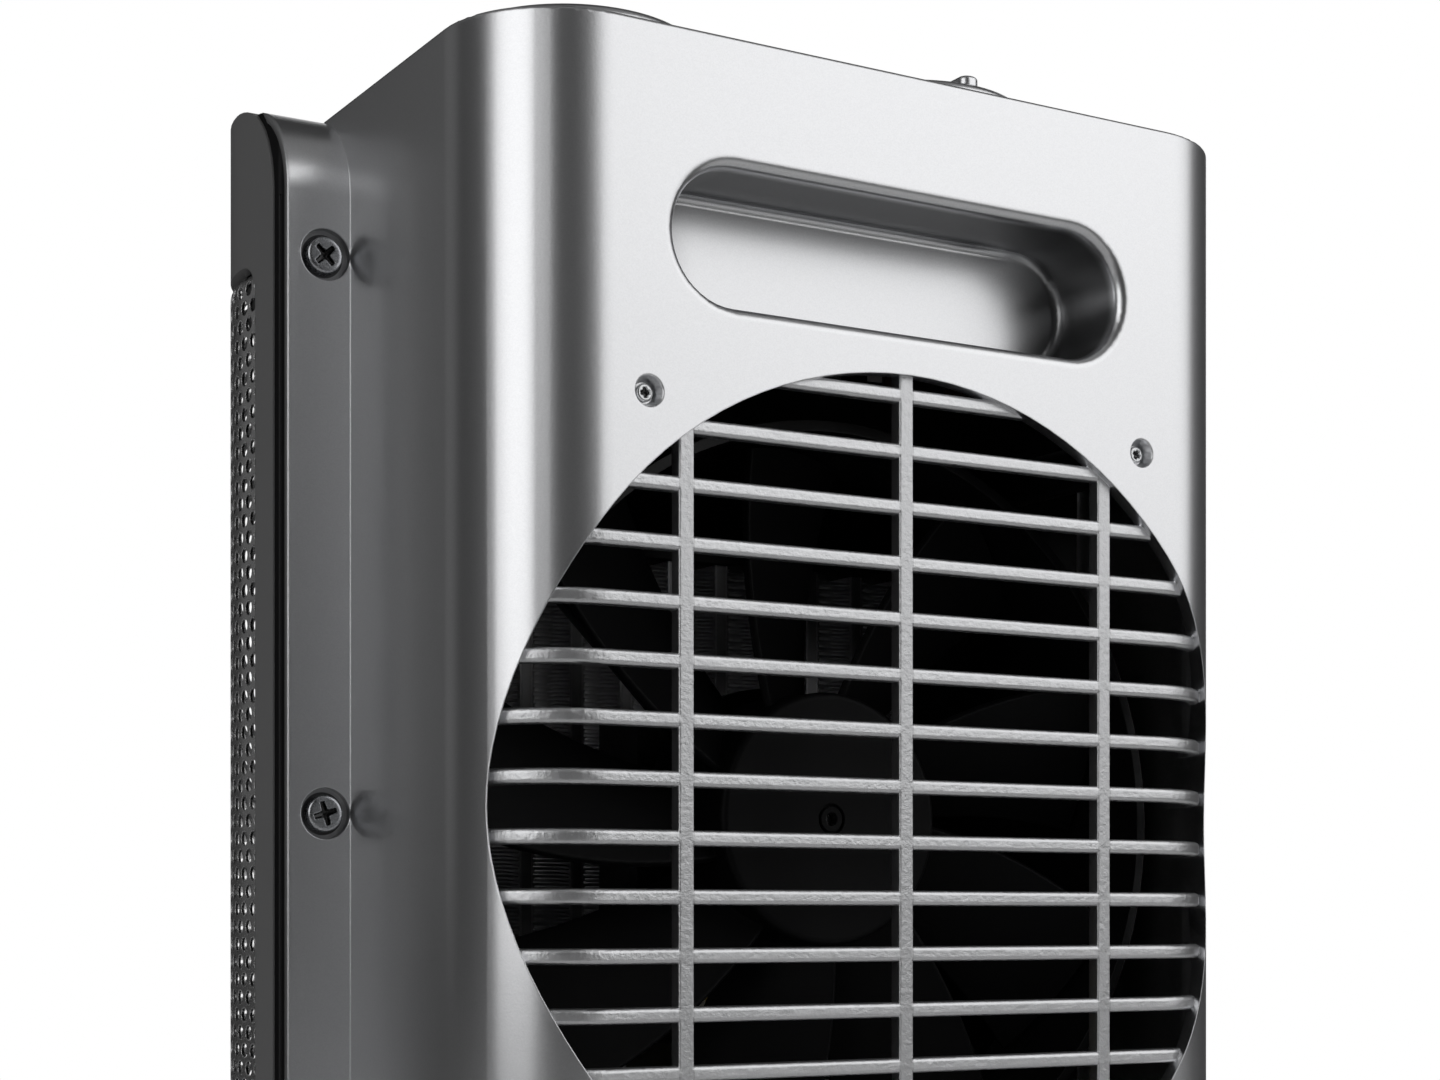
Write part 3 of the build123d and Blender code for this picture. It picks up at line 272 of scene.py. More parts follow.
def silverPaint(name, housing=False):
    # the flake gives each small cell its own shade, and the orange peel moves the gloss and the surface a little
    f = Finish(name, Metallic=1.0)
    spot = f.place()
    flake = f.cells(silver["flake"], spot)
    peel = f.noise(**silver["peel"], spot=spot)
    shade = f.mix(flake, silver["dark"], silver["light"])
    rough = f.around(silver["rough"], peel, silver["spread"])
    if not housing:
        normal = f.bump(peel, silver["deep"], 1.0, f.rounded(softEdge))
        return f.set(Base_Color=shade, Roughness=rough, Normal=normal)
    x, y, z = f.axes()
    side, up, deep = f.size(x), z - midZ, rearY - y
    # the flange's outer edge is rounded most
    softer = softEdge + (side > rim["start"]) * (rim["round"] - softEdge)
    normal = f.bump(peel, silver["deep"], 1.0, f.rounded(softer))
    # within its radius and behind the middle, the grille's bars are wrinkled and duller than the wall, the ribs most
    inside = (f.away(x, up) < grille["radius"]) * (y > 0)
    rib = f.maths('MINIMUM', side, f.size(side - grille["ribSpacing"])) < grille["ribHalf"]
    dullerAndPaintedShade = inside * (1 - grille["slatShade"] + rib * (grille["slatShade"] - grille["ribShade"]))
    rough = rough + inside * grille["rougher"]
    wrinkle = f.noise(**grille["wrinkle"], spot=spot)
    normal = f.bump(wrinkle * inside, grille["deep"], grille["strength"], normal)
    # painted shade: the walls of the handle recess are darkened as if in its shade, and so is the corner at each end
    # of its back wall
    pocket = (side < handle["halfWidth"]) * (f.size(z - (topZ - handle["drop"])) < handle["halfHeight"])
    walls = f.smooth(deep, handle["wallFrom"], handle["wallTo"]) * (deep < handle["back"])
    ends = f.smooth(side, handle["endFrom"], handle["endTo"]) * (deep > handle["back"])
    dullerAndPaintedShade = dullerAndPaintedShade + pocket * (walls + ends) * (1 - handle["wallShade"])
    # painted shade: the recesses of the flange screws are darkened, most of all close to the head, where the head's
    # shadow falls
    for row in recess["rows"]:
        ring = f.away(side - recess["x"], up - row)
        paintedRecessShade = (ring < recess["radius"]) * (deep > recess["floor"])
        paintedHeadShadow = (ring < recess["near"]) * (recess["shade"] - recess["nearPaintedShade"])
        dullerAndPaintedShade = dullerAndPaintedShade + paintedRecessShade * (1 - recess["shade"] + paintedHeadShadow)
    # the base colour is darkened both by the duller grille finish and by the painted shade in the recesses
    return f.set(Base_Color=f.darker(shade, dullerAndPaintedShade), Roughness=rough, Normal=normal)


moulded = dict(detail=2.0, coarse=0.6, cloud=dict(scale=60, detail=3.0, rough=0.5), fineShare=0.5, strength=0.6,
               spread=0.1)


def plasticFinish(name, dark, light, rough, grain=1600, deep=0.03 * mm, shine=0.5):
    # the colour is the mean of a fine grain and a wide cloud; the grain lifts the surface, the cloud moves the gloss
    f = Finish(name, Specular_IOR_Level=shine)
    spot = f.place()
    fine = f.noise(grain, moulded["detail"], moulded["coarse"], spot)
    wide = f.noise(**moulded["cloud"], spot=spot)
    shade = f.mix(fine * moulded["fineShare"] + wide * (1 - moulded["fineShare"]), dark, light)
    normal = f.bump(fine, deep, moulded["strength"], f.rounded(softEdge))
    return f.set(Base_Color=shade, Roughness=f.around(rough, wide, moulded["spread"]), Normal=normal)


bare = dict(detail=3.0, coarse=0.6, cloud=dict(scale=80, detail=2.0, rough=0.5), fineShare=0.4, deep=0.02 * mm,
            strength=0.4, spread=0.15)


def metalFinish(name, dark, light, rough, grain=900, stretch=None):
    # the same for bare metal, with more cloud in the colour, the grain in the gloss too, and a stretched grain where
    # it was rolled or stacked
    f = Finish(name, Metallic=1.0)
    spot = f.place()
    fine = f.noise(grain, bare["detail"], bare["coarse"], spot, stretch)
    wide = f.noise(**bare["cloud"], spot=spot)
    shade = f.mix(fine * bare["fineShare"] + wide * (1 - bare["fineShare"]), dark, light)
    normal = f.bump(fine, bare["deep"], bare["strength"], f.rounded(metalEdge))
    return f.set(Base_Color=shade, Roughness=f.around(rough, fine, bare["spread"]), Normal=normal)


# black frame; its lighter lines along the groove's edges are a painted highlight
blackFrame = dict(dark=(0.003, 0.003, 0.0035), paintedHighlight=(0.05, 0.05, 0.052), groove=69.5 * mm, half=0.45 * mm,
                  line=0.16 * mm, grain=dict(scale=1500, detail=2.0, rough=0.6), mottle=0.05, deep=0.01 * mm,
                  strength=0.5, rough=0.32, rougher=0.06, shine=0.08)


def framePlastic(name, s):
    # glossy black, with painted highlights: a little lighter where the distance from the groove's middle is half the
    # groove's width, as if light caught the groove's edges
    f = Finish(name, Specular_IOR_Level=s["shine"])
    spot = f.place()
    fine = f.noise(**s["grain"], spot=spot)
    across = f.size(rearY - s["groove"] - f.axes()[1])
    edge = f.size(across - s["half"]) < s["line"]
    shade = f.mix(edge + fine * s["mottle"], s["dark"], s["paintedHighlight"])
    normal = f.bump(fine, s["deep"], s["strength"], f.rounded(softEdge))
    return f.set(Base_Color=shade, Roughness=s["rough"] + fine * s["rougher"], Normal=normal)


plastics = dict(
    black_plastic=dict(dark=(0.003, 0.003, 0.0035), light=(0.006, 0.006, 0.0065), rough=0.36, shine=0.3),
    dark_cover=dict(dark=(0.19, 0.19, 0.192), light=(0.21, 0.21, 0.212), rough=0.50, grain=1300, deep=0.04 * mm),
    retainer_plastic=dict(dark=(0.02, 0.02, 0.021), light=(0.03, 0.03, 0.031), rough=0.5),
    fan_plastic=dict(dark=(0.004, 0.004, 0.0045), light=(0.007, 0.007, 0.0075), rough=0.42, grain=1200,
                     deep=0.02 * mm, shine=0.10),
    bobbin_plastic=dict(dark=(0.62, 0.59, 0.50), light=(0.70, 0.67, 0.58), rough=0.45),
    coil_tape=dict(dark=(0.40, 0.28, 0.06), light=(0.52, 0.38, 0.10), rough=0.3),
    heat_plastic=dict(dark=(0.014, 0.013, 0.012), light=(0.024, 0.022, 0.021), rough=0.5),
    phenolic=dict(dark=(0.05, 0.028, 0.018), light=(0.085, 0.05, 0.033), rough=0.42),
    foot_rubber=dict(dark=(0.012, 0.012, 0.012), light=(0.022, 0.022, 0.022), rough=0.72, grain=900, deep=0.06 * mm),
    gland_rubber=dict(dark=(0.012, 0.012, 0.012), light=(0.022, 0.022, 0.022), rough=0.6, grain=900, deep=0.05 * mm),
    ceramic_block=dict(dark=(0.66, 0.62, 0.54), light=(0.76, 0.73, 0.66), rough=0.4))
metals = dict(
    mesh_steel=dict(dark=(0.84, 0.84, 0.845), light=(0.94, 0.94, 0.945), rough=0.26),
    zinc_screw=dict(dark=(0.50, 0.51, 0.53), light=(0.68, 0.69, 0.71), rough=0.26, grain=2500),
    black_screw=dict(dark=(0.30, 0.30, 0.31), light=(0.42, 0.42, 0.43), rough=0.34, grain=2500),
    shaft_steel=dict(dark=(0.5, 0.5, 0.52), light=(0.65, 0.65, 0.67), rough=0.22, grain=1500),
    lamination=dict(dark=(0.16, 0.16, 0.17), light=(0.30, 0.30, 0.31), rough=0.45, grain=300, stretch=(1, 12, 1)),
    rotor_steel=dict(dark=(0.4, 0.4, 0.41), light=(0.55, 0.55, 0.56), rough=0.4, grain=500, stretch=(1, 8, 1)),
    zinc_sheet=dict(dark=(0.50, 0.51, 0.52), light=(0.64, 0.65, 0.67), rough=0.33, grain=160),
    bronze=dict(dark=(0.42, 0.28, 0.14), light=(0.56, 0.40, 0.22), rough=0.42, grain=2500),
    fin_aluminium=dict(dark=(0.66, 0.66, 0.67), light=(0.82, 0.82, 0.83), rough=0.34, grain=700),
    bar_aluminium=dict(dark=(0.45, 0.45, 0.46), light=(0.60, 0.60, 0.61), rough=0.38, stretch=(1, 1, 0.1)),
    terminal_brass=dict(dark=(0.60, 0.50, 0.28), light=(0.75, 0.65, 0.42), rough=0.28),
    cutout_steel=dict(dark=(0.45, 0.45, 0.46), light=(0.6, 0.6, 0.61), rough=0.34))

finishes = dict(
    mid_frame=framePlastic("mid_frame", blackFrame),
    silver_paint=silverPaint("silver_paint", housing=True),
    silver_knob=silverPaint("silver_knob"))
finishes.update({name: plasticFinish(name, **s) for name, s in plastics.items()})
finishes.update({name: metalFinish(name, **s) for name, s in metals.items()})
print("finishes made,", len(finishes))


floor = dict(radius=0.8, points=96, shade=0.86, darker=0.02, lighter=0.01, tone=9, rough=0.6, glow=0.42,
             fadeFrom=0.55, fadeTo=0.98)


def addFloor(s):
    # a pale disc; its outer part fades out, so the view meets the backdrop without an edge, and the eye sees it a
    # little lighter than the object does
    f = Finish("floor", Roughness=s["rough"], Emission_Strength=1.0)
    x, y = f.axes()[:2]
    seen = f.smooth(f.away(x, y), s["radius"] * s["fadeFrom"], s["radius"] * s["fadeTo"], 1.0, 0.0)
    shade = f.mix(f.noise(s["tone"]), (s["shade"] - s["darker"],) * 3, (s["shade"] + s["lighter"],) * 3)
    glow = f.mix(f.node('LightPath'), (0, 0, 0), (s["glow"],) * 3)
    f.set(Base_Color=shade, Alpha=seen, Emission_Color=glow)
    turn = np.linspace(0, 2 * np.pi, s["points"], endpoint=False)
    outline = np.stack([np.cos(turn), np.sin(turn), np.zeros_like(turn)], 1) * s["radius"]
    mesh = bpy.data.meshes.new("floor")
    mesh.from_pydata(outline.tolist(), [], [list(range(s["points"]))])
    mesh.materials.append(f.mat)
    ob = bpy.data.objects.new("floor", mesh)
    bpy.context.scene.collection.objects.link(ob)


addFloor(floor)
print("floor laid")

# Which finish and which moving body each part has, from the record
slotOf = {entry["node"]: entry["material_slot"] for entry in frame["record"]["subparts"]}
bodyOf = {node: body for body, members in frame["record"]["behaviour"]["bodies"].items() for node in members}


def finished(ob, node, *more):
    # gives a new piece the finish, the body and the place of the part that it stands for
    ob.data.materials.clear()
    ob.data.materials.append(finishes.get(node) or finishes[slotOf[node]])
    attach(ob, bodyOf[node])
    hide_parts(node, *more)


# Shapes made from numbers
def addPiece(name, verts, faces, node, *more, sharp):
    # one new piece for a part, with its faces shaded smooth up to the given angle
    mesh = bpy.data.meshes.new(name)
    mesh.from_pydata(verts.tolist(), [], faces)
    mesh.update()
    mesh.shade_smooth()
    mesh.set_sharp_from_angle(angle=math.radians(sharp))
    ob = bpy.data.objects.new(name, mesh)
    bpy.context.scene.collection.objects.link(ob)
    finished(ob, node, *more)


def gridFaces(rows, columns):
    # quads between the rows of a grid of points, whose last column joins the first
    i, j = np.meshgrid(np.arange(rows - 1), np.arange(columns), indexing='ij')
    i, j = i.ravel() * columns, j.ravel()
    along = (j + 1) % columns
    return np.stack([i + j, i + along, i + columns + along, i + columns + j], 1)


def rimEdges(faces):
    # directed edges that only one face uses: no face has them the other way round
    start = np.concatenate([f.ravel() for f in faces])
    end = np.concatenate([np.roll(f, -1, axis=1).ravel() for f in faces])
    count = max(start.max(), end.max()) + 1
    alone = ~np.isin(start * count + end, end * count + start)
    return start[alone], end[alone]


# Moulded parts: the part's own triangles joined up, with normals worked out from its large faces
skin = dict(sharp=32, join=0.002 * mm, facings=400, level=0.05 * mm, least=1e-6)


def averagedNormals(mesh, s):
    # each corner takes the mean normal of the faces round it that lie within the angle, weighted by the square of
    # the flat area that each belongs to, so a flat stays flat right up to the rounding beside it
    loops, faces = len(mesh.loops), len(mesh.polygons)
    vert = np.empty(loops, np.int64)
    mesh.loops.foreach_get("vertex_index", vert)
    normal, centre = np.empty(faces * 3), np.empty(faces * 3)
    area, total = np.empty(faces), np.empty(faces, np.int64)
    mesh.polygons.foreach_get("normal", normal)
    mesh.polygons.foreach_get("center", centre)
    mesh.polygons.foreach_get("area", area)
    mesh.polygons.foreach_get("loop_total", total)
    normal, centre = normal.reshape(-1, 3), centre.reshape(-1, 3)
    # faces on one flat share their normal and their distance from the origin along it
    offset = (normal * centre).sum(1)[:, None]
    key = np.concatenate([np.round(normal * s["facings"]), np.round(offset / s["level"])], 1).astype(np.int64)
    flat = np.unique(key, axis=0, return_inverse=True)[1].ravel()
    weight = (np.bincount(flat, area)[flat] / mm ** 2) ** 2 + s["least"]
    # the corners of one point stand side by side, and each looks at the others in turn
    face = np.repeat(np.arange(faces), total)
    order = np.argsort(vert, kind='stable')
    own, point = face[order], vert[order]
    size = np.bincount(vert, minlength=len(mesh.vertices))
    first = np.cumsum(size) - size
    place = np.arange(loops) - first[point]
    result = np.zeros((loops, 3))
    limit = math.cos(math.radians(s["sharp"]))
    for step in range(int(size.max())):
        here = np.flatnonzero(size[point] > step)
        other = own[first[point[here]] + (place[here] + step) % size[point[here]]]
        near = (normal[own[here]] * normal[other]).sum(1) > limit
        result[here[near]] += normal[other[near]] * weight[other[near]][:, None]
    result /= np.linalg.norm(result, axis=1)[:, None]
    back = np.empty_like(result)
    back[order] = result
    return back


def smoothCopy(node, s):
    # the part's own mesh, with points that lie on each other joined, shaded by the averaged normals
    mesh = frame["nodes"][node].data.copy()
    mesh.name = node + "_skin"
    work = bmesh.new()
    work.from_mesh(mesh)
    bmesh.ops.remove_doubles(work, verts=work.verts, dist=s["join"])
    work.to_mesh(mesh)
    work.free()
    mesh.shade_smooth()
    mesh.normals_split_custom_set(averagedNormals(mesh, s).tolist())
    ob = bpy.data.objects.new(node + "_skin", mesh)
    bpy.context.scene.collection.objects.link(ob)
    finished(ob, node)


smoothParts = ["rear_housing", "mid_frame", "front_cover", "thermostat_knob", "function_knob", "fan_impeller",
               "fan_shroud", "cord_gland", "rubber_feet"]
for part in smoothParts:
    smoothCopy(part, skin)
print("smooth copies made,", len(smoothParts))

# Perforated steel, with one round hole in each small brick, every second row moved by half a brick
steel = dict(window=82.3 * mm, start=80.3 * mm, inset=1.3 * mm, lean=4.5, corner=30 * mm, edge=3 * mm,
             thick=0.6 * mm, half=107.0 * mm, columns=62, rows=63, hole=1.5 * mm,
             cuts=(16, 46),               # columns where the sheet is cut into a front and two sides
             steps=1e7,                   # to the metre; points on the same step are one
             sharp=40)


def steelPlan(s):
    # the plan is a flat front, two round corners and sides that lean in: the lean, and the middle of a corner's arc,
    # from the middle of the front and from the rear wall
    lean = math.radians(s["lean"])
    middleT = rearY * 2 - s["corner"]
    middleX = cover[1].x - s["inset"] + math.tan(lean) * (middleT - s["window"]) - s["corner"] / math.cos(lean)
    return lean, middleX, middleT


def steelSheet(s, u, v, depth):
    # bends the flat sheet: u runs round the plan from the middle of the front, v up the height, and the upper and
    # lower edges roll inwards through a quarter turn
    lean, middleX, middleT = steelPlan(s)
    sweep = math.pi / 2 + lean
    run = np.abs(u)
    turn = np.clip((run - middleX) / s["corner"], 0, sweep)
    past = np.maximum(run - middleX - s["corner"] * sweep, 0)
    x = np.minimum(run, middleX) + s["corner"] * np.sin(turn) - past * math.sin(lean)
    t = middleT + s["corner"] * np.cos(turn) - past * math.cos(lean)
    out = np.stack([np.sin(turn) * np.sign(u), -np.cos(turn)], 1)
    flat = s["half"] - s["edge"]
    roll = np.clip((np.abs(v) - flat) / s["edge"], 0, math.pi / 2)
    inwards = s["edge"] * (1 - np.cos(roll)) + depth * np.cos(roll)
    height = np.minimum(np.abs(v), flat) + s["edge"] * np.sin(roll) - depth * np.sin(roll)
    return np.stack([x * np.sign(u) - out[:, 0] * inwards, rearY - t - out[:, 1] * inwards,
                     midZ + np.sign(v) * height], 1)


def steelBricks(s, long, tall):
    # the flat pattern: a brick has twelve points round it and twelve round its hole, each facing one of the others,
    # and half a brick without a hole closes each end of the shifted rows
    du, dv = long / s["columns"], tall / s["rows"]
    # both outlines, in quarters of a brick's width and halves of its height
    ring = np.array([(2, 0), (2, 1), (1, 1), (0, 1), (-1, 1), (-2, 1), (-2, 0), (-2, -1), (-1, -1), (0, -1), (1, -1),
                     (2, -1)])
    halfRing = np.array([(0, -1), (1, -1), (2, -1), (2, 0), (2, 1), (1, 1), (0, 1)])
    points = len(ring)
    around = np.arange(points) * math.pi / (points // 2)
    row, column = np.meshgrid(np.arange(s["rows"]), np.arange(s["columns"]), indexing='ij')
    keep = (row % 2 == 0) | (column < s["columns"] - 1)
    row, column = row[keep], column[keep]
    u0 = (column + 0.5 + 0.5 * (row % 2)) * du - long / 2
    v0 = (row + 0.5) * dv - tall / 2
    edgeU, edgeV = u0[:, None] + ring[:, 0] * du / 4, v0[:, None] + ring[:, 1] * dv / 2
    holeU, holeV = u0[:, None] + np.cos(around) * s["hole"], v0[:, None] + np.sin(around) * s["hole"]
    index = np.arange(len(u0) * 2 * points).reshape(-1, 2 * points)
    following = (np.arange(points) + 1) % points
    quads = np.stack([index[:, :points], index[:, following], index[:, points + following], index[:, points:]], 2)
    odd = np.arange(1, s["rows"], 2)
    endV = ((odd + 0.5) * dv - tall / 2)[:, None] + halfRing[:, 1] * dv / 2
    leftU = np.broadcast_to(-long / 2 + halfRing[:, 0] * du / 4, endV.shape)
    ends = index.size + np.arange(endV.size * 2).reshape(-1, len(halfRing))
    ends[len(odd):] = ends[len(odd):, ::-1]
    u = np.concatenate([np.concatenate([edgeU, holeU], 1).ravel(), leftU.ravel(), -leftU.ravel()])
    v = np.concatenate([np.concatenate([edgeV, holeV], 1).ravel(), endV.ravel(), endV.ravel()])
    grid = np.round(np.stack([u, v], 1) * s["steps"]).astype(np.int64)
    spots, same = np.unique(grid, axis=0, return_inverse=True)
    same = same.ravel()
    endColumn = np.repeat([0, s["columns"] - 1], len(odd))
    return spots / s["steps"], same[quads.reshape(-1, 4)], np.repeat(column, points), same[ends], endColumn


def addSteel(s):
    # the flat pattern, as long as the plan and as tall as the rolled height, is bent once for the outside and once
    # for the inside, and a wall joins the two along every rim
    lean, middleX, middleT = steelPlan(s)
    arc = s["corner"] * (math.pi / 2 + lean)
    tail = (middleT - s["corner"] * math.sin(lean) - s["start"]) / math.cos(lean)
    long = 2 * (middleX + arc + tail)
    tall = 2 * (s["half"] - s["edge"] + s["edge"] * math.pi / 2)
    spots, quads, quadColumn, ends, endColumn = steelBricks(s, long, tall)
    cuts = (0, *s["cuts"], s["columns"])
    for k in range(len(cuts) - 1):
        few = quads[(quadColumn >= cuts[k]) & (quadColumn < cuts[k + 1])]
        fewEnds = ends[(endColumn >= cuts[k]) & (endColumn < cuts[k + 1])]
        used, numbers = np.unique(np.concatenate([few.ravel(), fewEnds.ravel()]), return_inverse=True)
        numbers = numbers.ravel()
        few, fewEnds = numbers[:few.size].reshape(few.shape), numbers[few.size:].reshape(fewEnds.shape)
        n = len(used)
        a, b = rimEdges([few, fewEnds])
        walls = np.stack([b, a, a + n, b + n], 1)
        sides = [steelSheet(s, spots[used, 0], spots[used, 1], depth) for depth in (0.0, s["thick"])]
        outer = few.tolist() + fewEnds.tolist()
        inner = (few[:, ::-1] + n).tolist() + (fewEnds[:, ::-1] + n).tolist()
        addPiece("front_mesh_%d" % (k + 1), np.concatenate(sides), outer + inner + walls.tolist(), "front_mesh",
                 sharp=s["sharp"])


addSteel(steel)
print("perforated steel made")

# Pan-head screws with a cross recess. A head is a round field of heights: a dome, less the cross
screwForm = dict(around=96, rings=36, shankRings=64, start=0.03, flat=0.72, crown=0.012,
                 edge=(0.78, 0.84, 0.90, 0.94, 0.975, 0.995, 1.0, 1.0, 1.0),   # shares of the radius, and
                 fall=(0.985, 0.965, 0.92, 0.87, 0.77, 0.66, 0.5, 0.25, 0.0),  # of the height there
                 taper=0.25, soft=0.28 * mm, lip=0.05 * mm, wall=0.30 * mm, slope=0.45,
                 thread=0.09, threads=14, tip=0.94, tipLong=0.06, tipThin=0.55, sharp=38)
screwLook = dict(grain=dict(scale=2500, detail=3.0, rough=0.6), past=1.05, darkFrom=0.10 * mm, darkTo=0.5 * mm,
                 spread=0.1)
# each screw's last colour is the painted shade at the bottom of its cross
flangeScrew = dict(radius=3.5 * mm, height=1.9 * mm, slot=0.66 * mm, reach=2.35 * mm, deep=1.5 * mm, shank=1.7 * mm,
                   tail=13 * mm, turns=(34, 12, 70, 25, 17, 43), dark=(0.50, 0.51, 0.53), light=(0.60, 0.61, 0.63),
                   bottom=0.06, rough=0.27)
wallScrew = dict(radius=1.6 * mm, height=1.0 * mm, slot=0.52 * mm, reach=0.95 * mm, deep=0.75 * mm, shank=1.0 * mm,
                 tail=16 * mm, turns=(20, 64, 41, 7), dark=(0.62, 0.63, 0.64), light=(0.74, 0.75, 0.76),
                 bottom=0.10, rough=0.25)


def screwFinish(name, s, x, rows, top):
    # bright metal, with painted shade at the bottom of the cross: within its reach of an axis and below the top of the
    # head
    f = Finish(name, Metallic=1.0)
    fine = f.noise(**screwLook["grain"], spot=f.place())
    across, y, z = f.axes()
    side = f.size(across) - x
    away = [f.away(side, z - row) for row in rows]
    nearest = away[0]
    for other in away[1:]:
        nearest = f.maths('MINIMUM', nearest, other)
    below = f.smooth(top - y, screwLook["darkFrom"], screwLook["darkTo"])
    shadedCross = (nearest < s["reach"] * screwLook["past"]) * below
    shade = f.mix(shadedCross, f.mix(fine, s["dark"], s["light"]), (s["bottom"],) * 3)
    return f.set(Base_Color=shade, Roughness=f.around(s["rough"], fine, screwLook["spread"]),
                 Normal=f.rounded(metalEdge))


def screwHead(s, form, around, turn):
    # the dome falls to zero at the rim. The cross is two bars that narrow outwards, joined with rounded inner corners:
    # the depth grows over the width of a wall and gets less towards the ends of the bars
    inner = np.linspace(form["start"], form["flat"], form["rings"]) * s["radius"]
    radius = np.concatenate([inner, np.array(form["edge"]) * s["radius"]])
    dome = np.concatenate([1.0 - form["crown"] * (inner / inner[-1]) ** 2, form["fall"]]) * s["height"]
    r, a = np.meshgrid(radius, around, indexing='ij')
    x, y = np.abs(r * np.cos(a - turn)), np.abs(r * np.sin(a - turn))
    outwards = np.minimum(r / s["reach"], 1)
    taper = s["slot"] * (1.0 - form["taper"] * outwards)
    barOne, barTwo = np.maximum(x - taper, y - s["reach"]), np.maximum(y - taper, x - s["reach"])
    blend = np.clip(0.5 + 0.5 * (barTwo - barOne) / form["soft"], 0, 1)
    away = barTwo + (barOne - barTwo) * blend - form["soft"] * blend * (1 - blend)
    cut = np.clip((form["lip"] - away) / form["wall"], 0, 1)
    cut = cut * cut * (3 - 2 * cut)
    z = dome[:, None] - s["deep"] * cut * (1.0 - form["slope"] * outwards)
    return np.stack([r * np.cos(a), r * np.sin(a), z], 2)


def screwShank(s, form, around):
    # a round bar whose radius rises and falls as a cosine with each thread, down to a blunt tip
    along = np.linspace(0, 1, form["shankRings"])
    width = s["shank"] * (1 - form["thread"] * (0.5 - 0.5 * np.cos(along * 2 * np.pi * form["threads"])))
    thinner = (along - form["tip"]) / form["tipLong"] * form["tipThin"]
    width = np.where(along > form["tip"], width * (1 - thinner), width)
    r, a = np.meshgrid(width, around, indexing='ij')
    z = np.broadcast_to(-along[:, None] * s["tail"], r.shape)
    return np.stack([r * np.cos(a), r * np.sin(a), z], 2)


def screwShape(s, form, turn):
    # rings of points round the axis, which is +z here, closed by a fan of triangles at each end
    count = form["around"]
    around = np.linspace(0, 2 * np.pi, count, endpoint=False)
    rings = np.concatenate([screwHead(s, form, around, turn), screwShank(s, form, around)])
    rows = len(rings)
    verts = np.concatenate([rings.reshape(-1, 3), [[0, 0, s["height"] - s["deep"]]], [[0, 0, -s["tail"]]]])
    step = np.arange(count)
    following = (step + 1) % count
    top = np.stack([np.full(count, rows * count), step, following], 1)
    last = (rows - 1) * count
    tip = np.stack([np.full(count, rows * count + 1), last + following, last + step], 1)
    return verts, gridFaces(rows, count), np.concatenate([top, tip])


def addScrews(node, s, form, x, rows, top):
    # a column of screws to each side, pointing forwards, so +z of the shape becomes +Y
    finishes[node] = screwFinish(node, s, x, rows, top)
    places = [(side * x, row) for side in (-1, 1) for row in rows]
    allVerts, allFaces = [], []
    count = 0
    for (across, up), turn in zip(places, s["turns"]):
        verts, quads, threes = screwShape(s, form, math.radians(turn))
        allVerts.append(np.stack([across - verts[:, 0], top - s["height"] + verts[:, 2], up + verts[:, 1]], 1))
        allFaces += (quads[:, ::-1] + count).tolist() + (threes + count).tolist()
        count += len(verts)
    addPiece(node + "_detail", np.concatenate(allVerts), allFaces, node, sharp=form["sharp"])


flangeBox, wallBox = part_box("flange_screws"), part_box("rear_wall_screws")
flangeX, wallX = flangeBox[1].x - flangeScrew["radius"], wallBox[1].x - wallScrew["radius"]
flangeLow, flangeHigh = flangeBox[0].z + flangeScrew["radius"], flangeBox[1].z - flangeScrew["radius"]
wallZ = wallBox[1].z - wallScrew["radius"] - midZ
addScrews("flange_screws", flangeScrew, screwForm, flangeX, (flangeLow, midZ + recess["rows"][1], flangeHigh),
          flangeBox[1].y)
addScrews("rear_wall_screws", wallScrew, screwForm, wallX, (midZ - wallZ, midZ + wallZ), wallBox[1].y)
print("screws made")

# Heater: ten columns of folded strip, each between two side sheets
fins = dict(columns=10, bar=2.2 * mm, sheet=0.45 * mm, strip=0.14 * mm, pitch=0.82 * mm, folds=4, ridge=0.7 * mm,
            sharp=30)


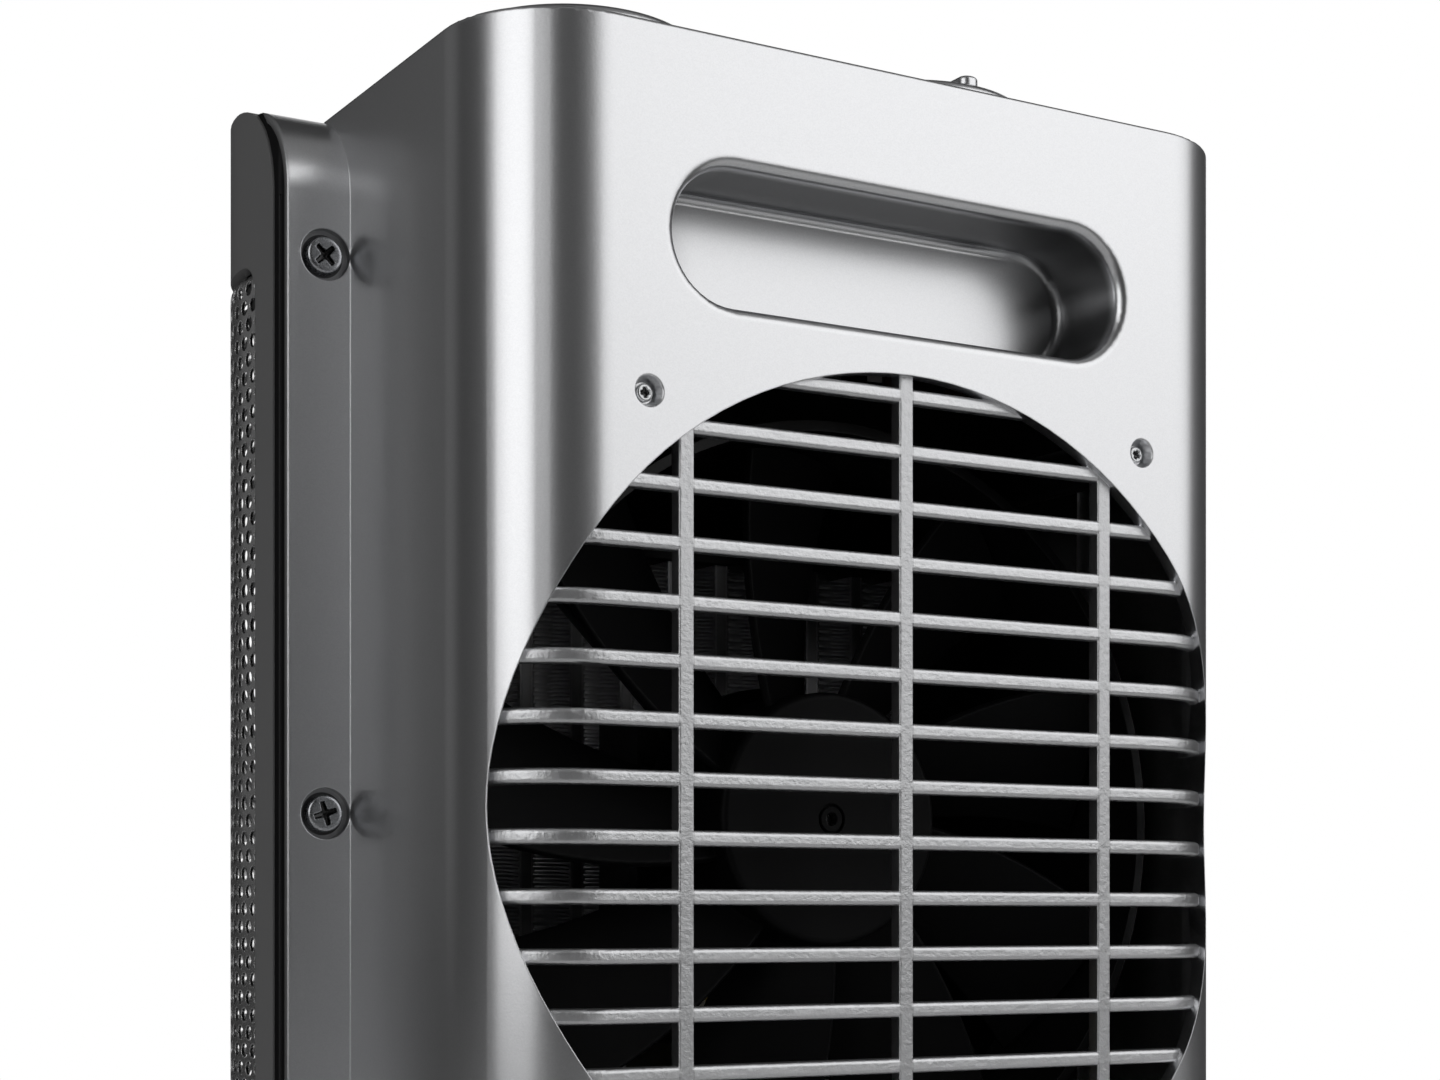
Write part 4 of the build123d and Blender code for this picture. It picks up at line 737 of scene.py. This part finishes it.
def foldedStrip(s, width, tall, deep):
    # a strip that runs to and fro between the side sheets: its path is a square wave with rounded turns, its two
    # faces lie half a thickness to each side of the path, and a low ridge runs along the middle of its depth
    count = int(tall / s["pitch"])
    gap = tall / count
    turn = np.linspace(-np.pi / 2, np.pi / 2, s["folds"])
    bend = gap / 2
    reach = width / 2 - bend - s["strip"]
    k = np.arange(count - 1)[:, None]
    side = np.where(k % 2 == 0, 1.0, -1.0)
    x = side * (reach + bend * np.cos(turn)[None, :])
    z = -tall / 2 + (k + 1) * gap + bend * np.sin(turn)[None, :]
    path = np.stack([x.ravel(), z.ravel()], 1)
    along = np.gradient(path, axis=0)
    along /= np.linalg.norm(along, axis=1)[:, None]
    across = np.stack([-along[:, 1], along[:, 0]], 1) * s["strip"] / 2
    left, right = path + across, path - across
    section = np.stack([left, left, left, right, right, right], 1)
    y = np.array([-0.5, 0.0, 0.5, 0.5, 0.0, -0.5]) * deep
    lift = np.array([-0.5, 0.5, -0.5, -0.5, 0.5, -0.5]) * s["ridge"]
    verts = np.stack([section[:, :, 0], np.broadcast_to(y, section.shape[:2]), section[:, :, 1] + lift], 2)
    faces = gridFaces(len(path), len(y))
    last = (len(path) - 1) * len(y)
    end = np.array([[0, 1, 4, 5], [1, 2, 3, 4]])
    return verts.reshape(-1, 3), np.concatenate([faces[:, ::-1], end, last + end[:, ::-1]])


def boxShape(low, high):
    # the eight corners and six sides of a box
    x, y, z = np.meshgrid(*[(low[i], high[i]) for i in range(3)], indexing='ij')
    verts = np.stack([x.ravel(), y.ravel(), z.ravel()], 1)
    faces = np.array([[0, 1, 3, 2], [4, 6, 7, 5], [0, 4, 5, 1], [2, 3, 7, 6], [0, 2, 6, 4], [1, 5, 7, 3]])
    return verts, faces


def addFins(s):
    # the columns share the width, less a bar between each two, and each is a folded strip between two thin sheets
    low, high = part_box("heater_fins")
    tall, deep = high.z - low.z, high.y - low.y
    width = (high.x - low.x - (s["columns"] - 1) * s["bar"]) / s["columns"]
    strip, quads = foldedStrip(s, width - 2 * s["sheet"], tall, deep)
    verts, faces = [], []
    count = 0
    for i in range(s["columns"]):
        left = low.x + i * (width + s["bar"])
        parts = [(strip + np.array([left + width / 2, (low.y + high.y) / 2, (low.z + high.z) / 2]), quads)]
        for x in (left, left + width - s["sheet"]):
            parts.append(boxShape((x, low.y, low.z), (x + s["sheet"], high.y, high.z)))
        for shape, some in parts:
            verts.append(shape)
            faces.append(some + count)
            count += len(shape)
    addPiece("heater_fins_detail", np.concatenate(verts), np.concatenate(faces).tolist(), "heater_fins",
             sharp=s["sharp"])


addFins(fins)
print("heater fins made")

# The parts inside keep their solids and get their finish
for node, ob in frame["nodes"].items():
    ob.data.materials.clear()
    ob.data.materials.append(finishes[slotOf[node]])
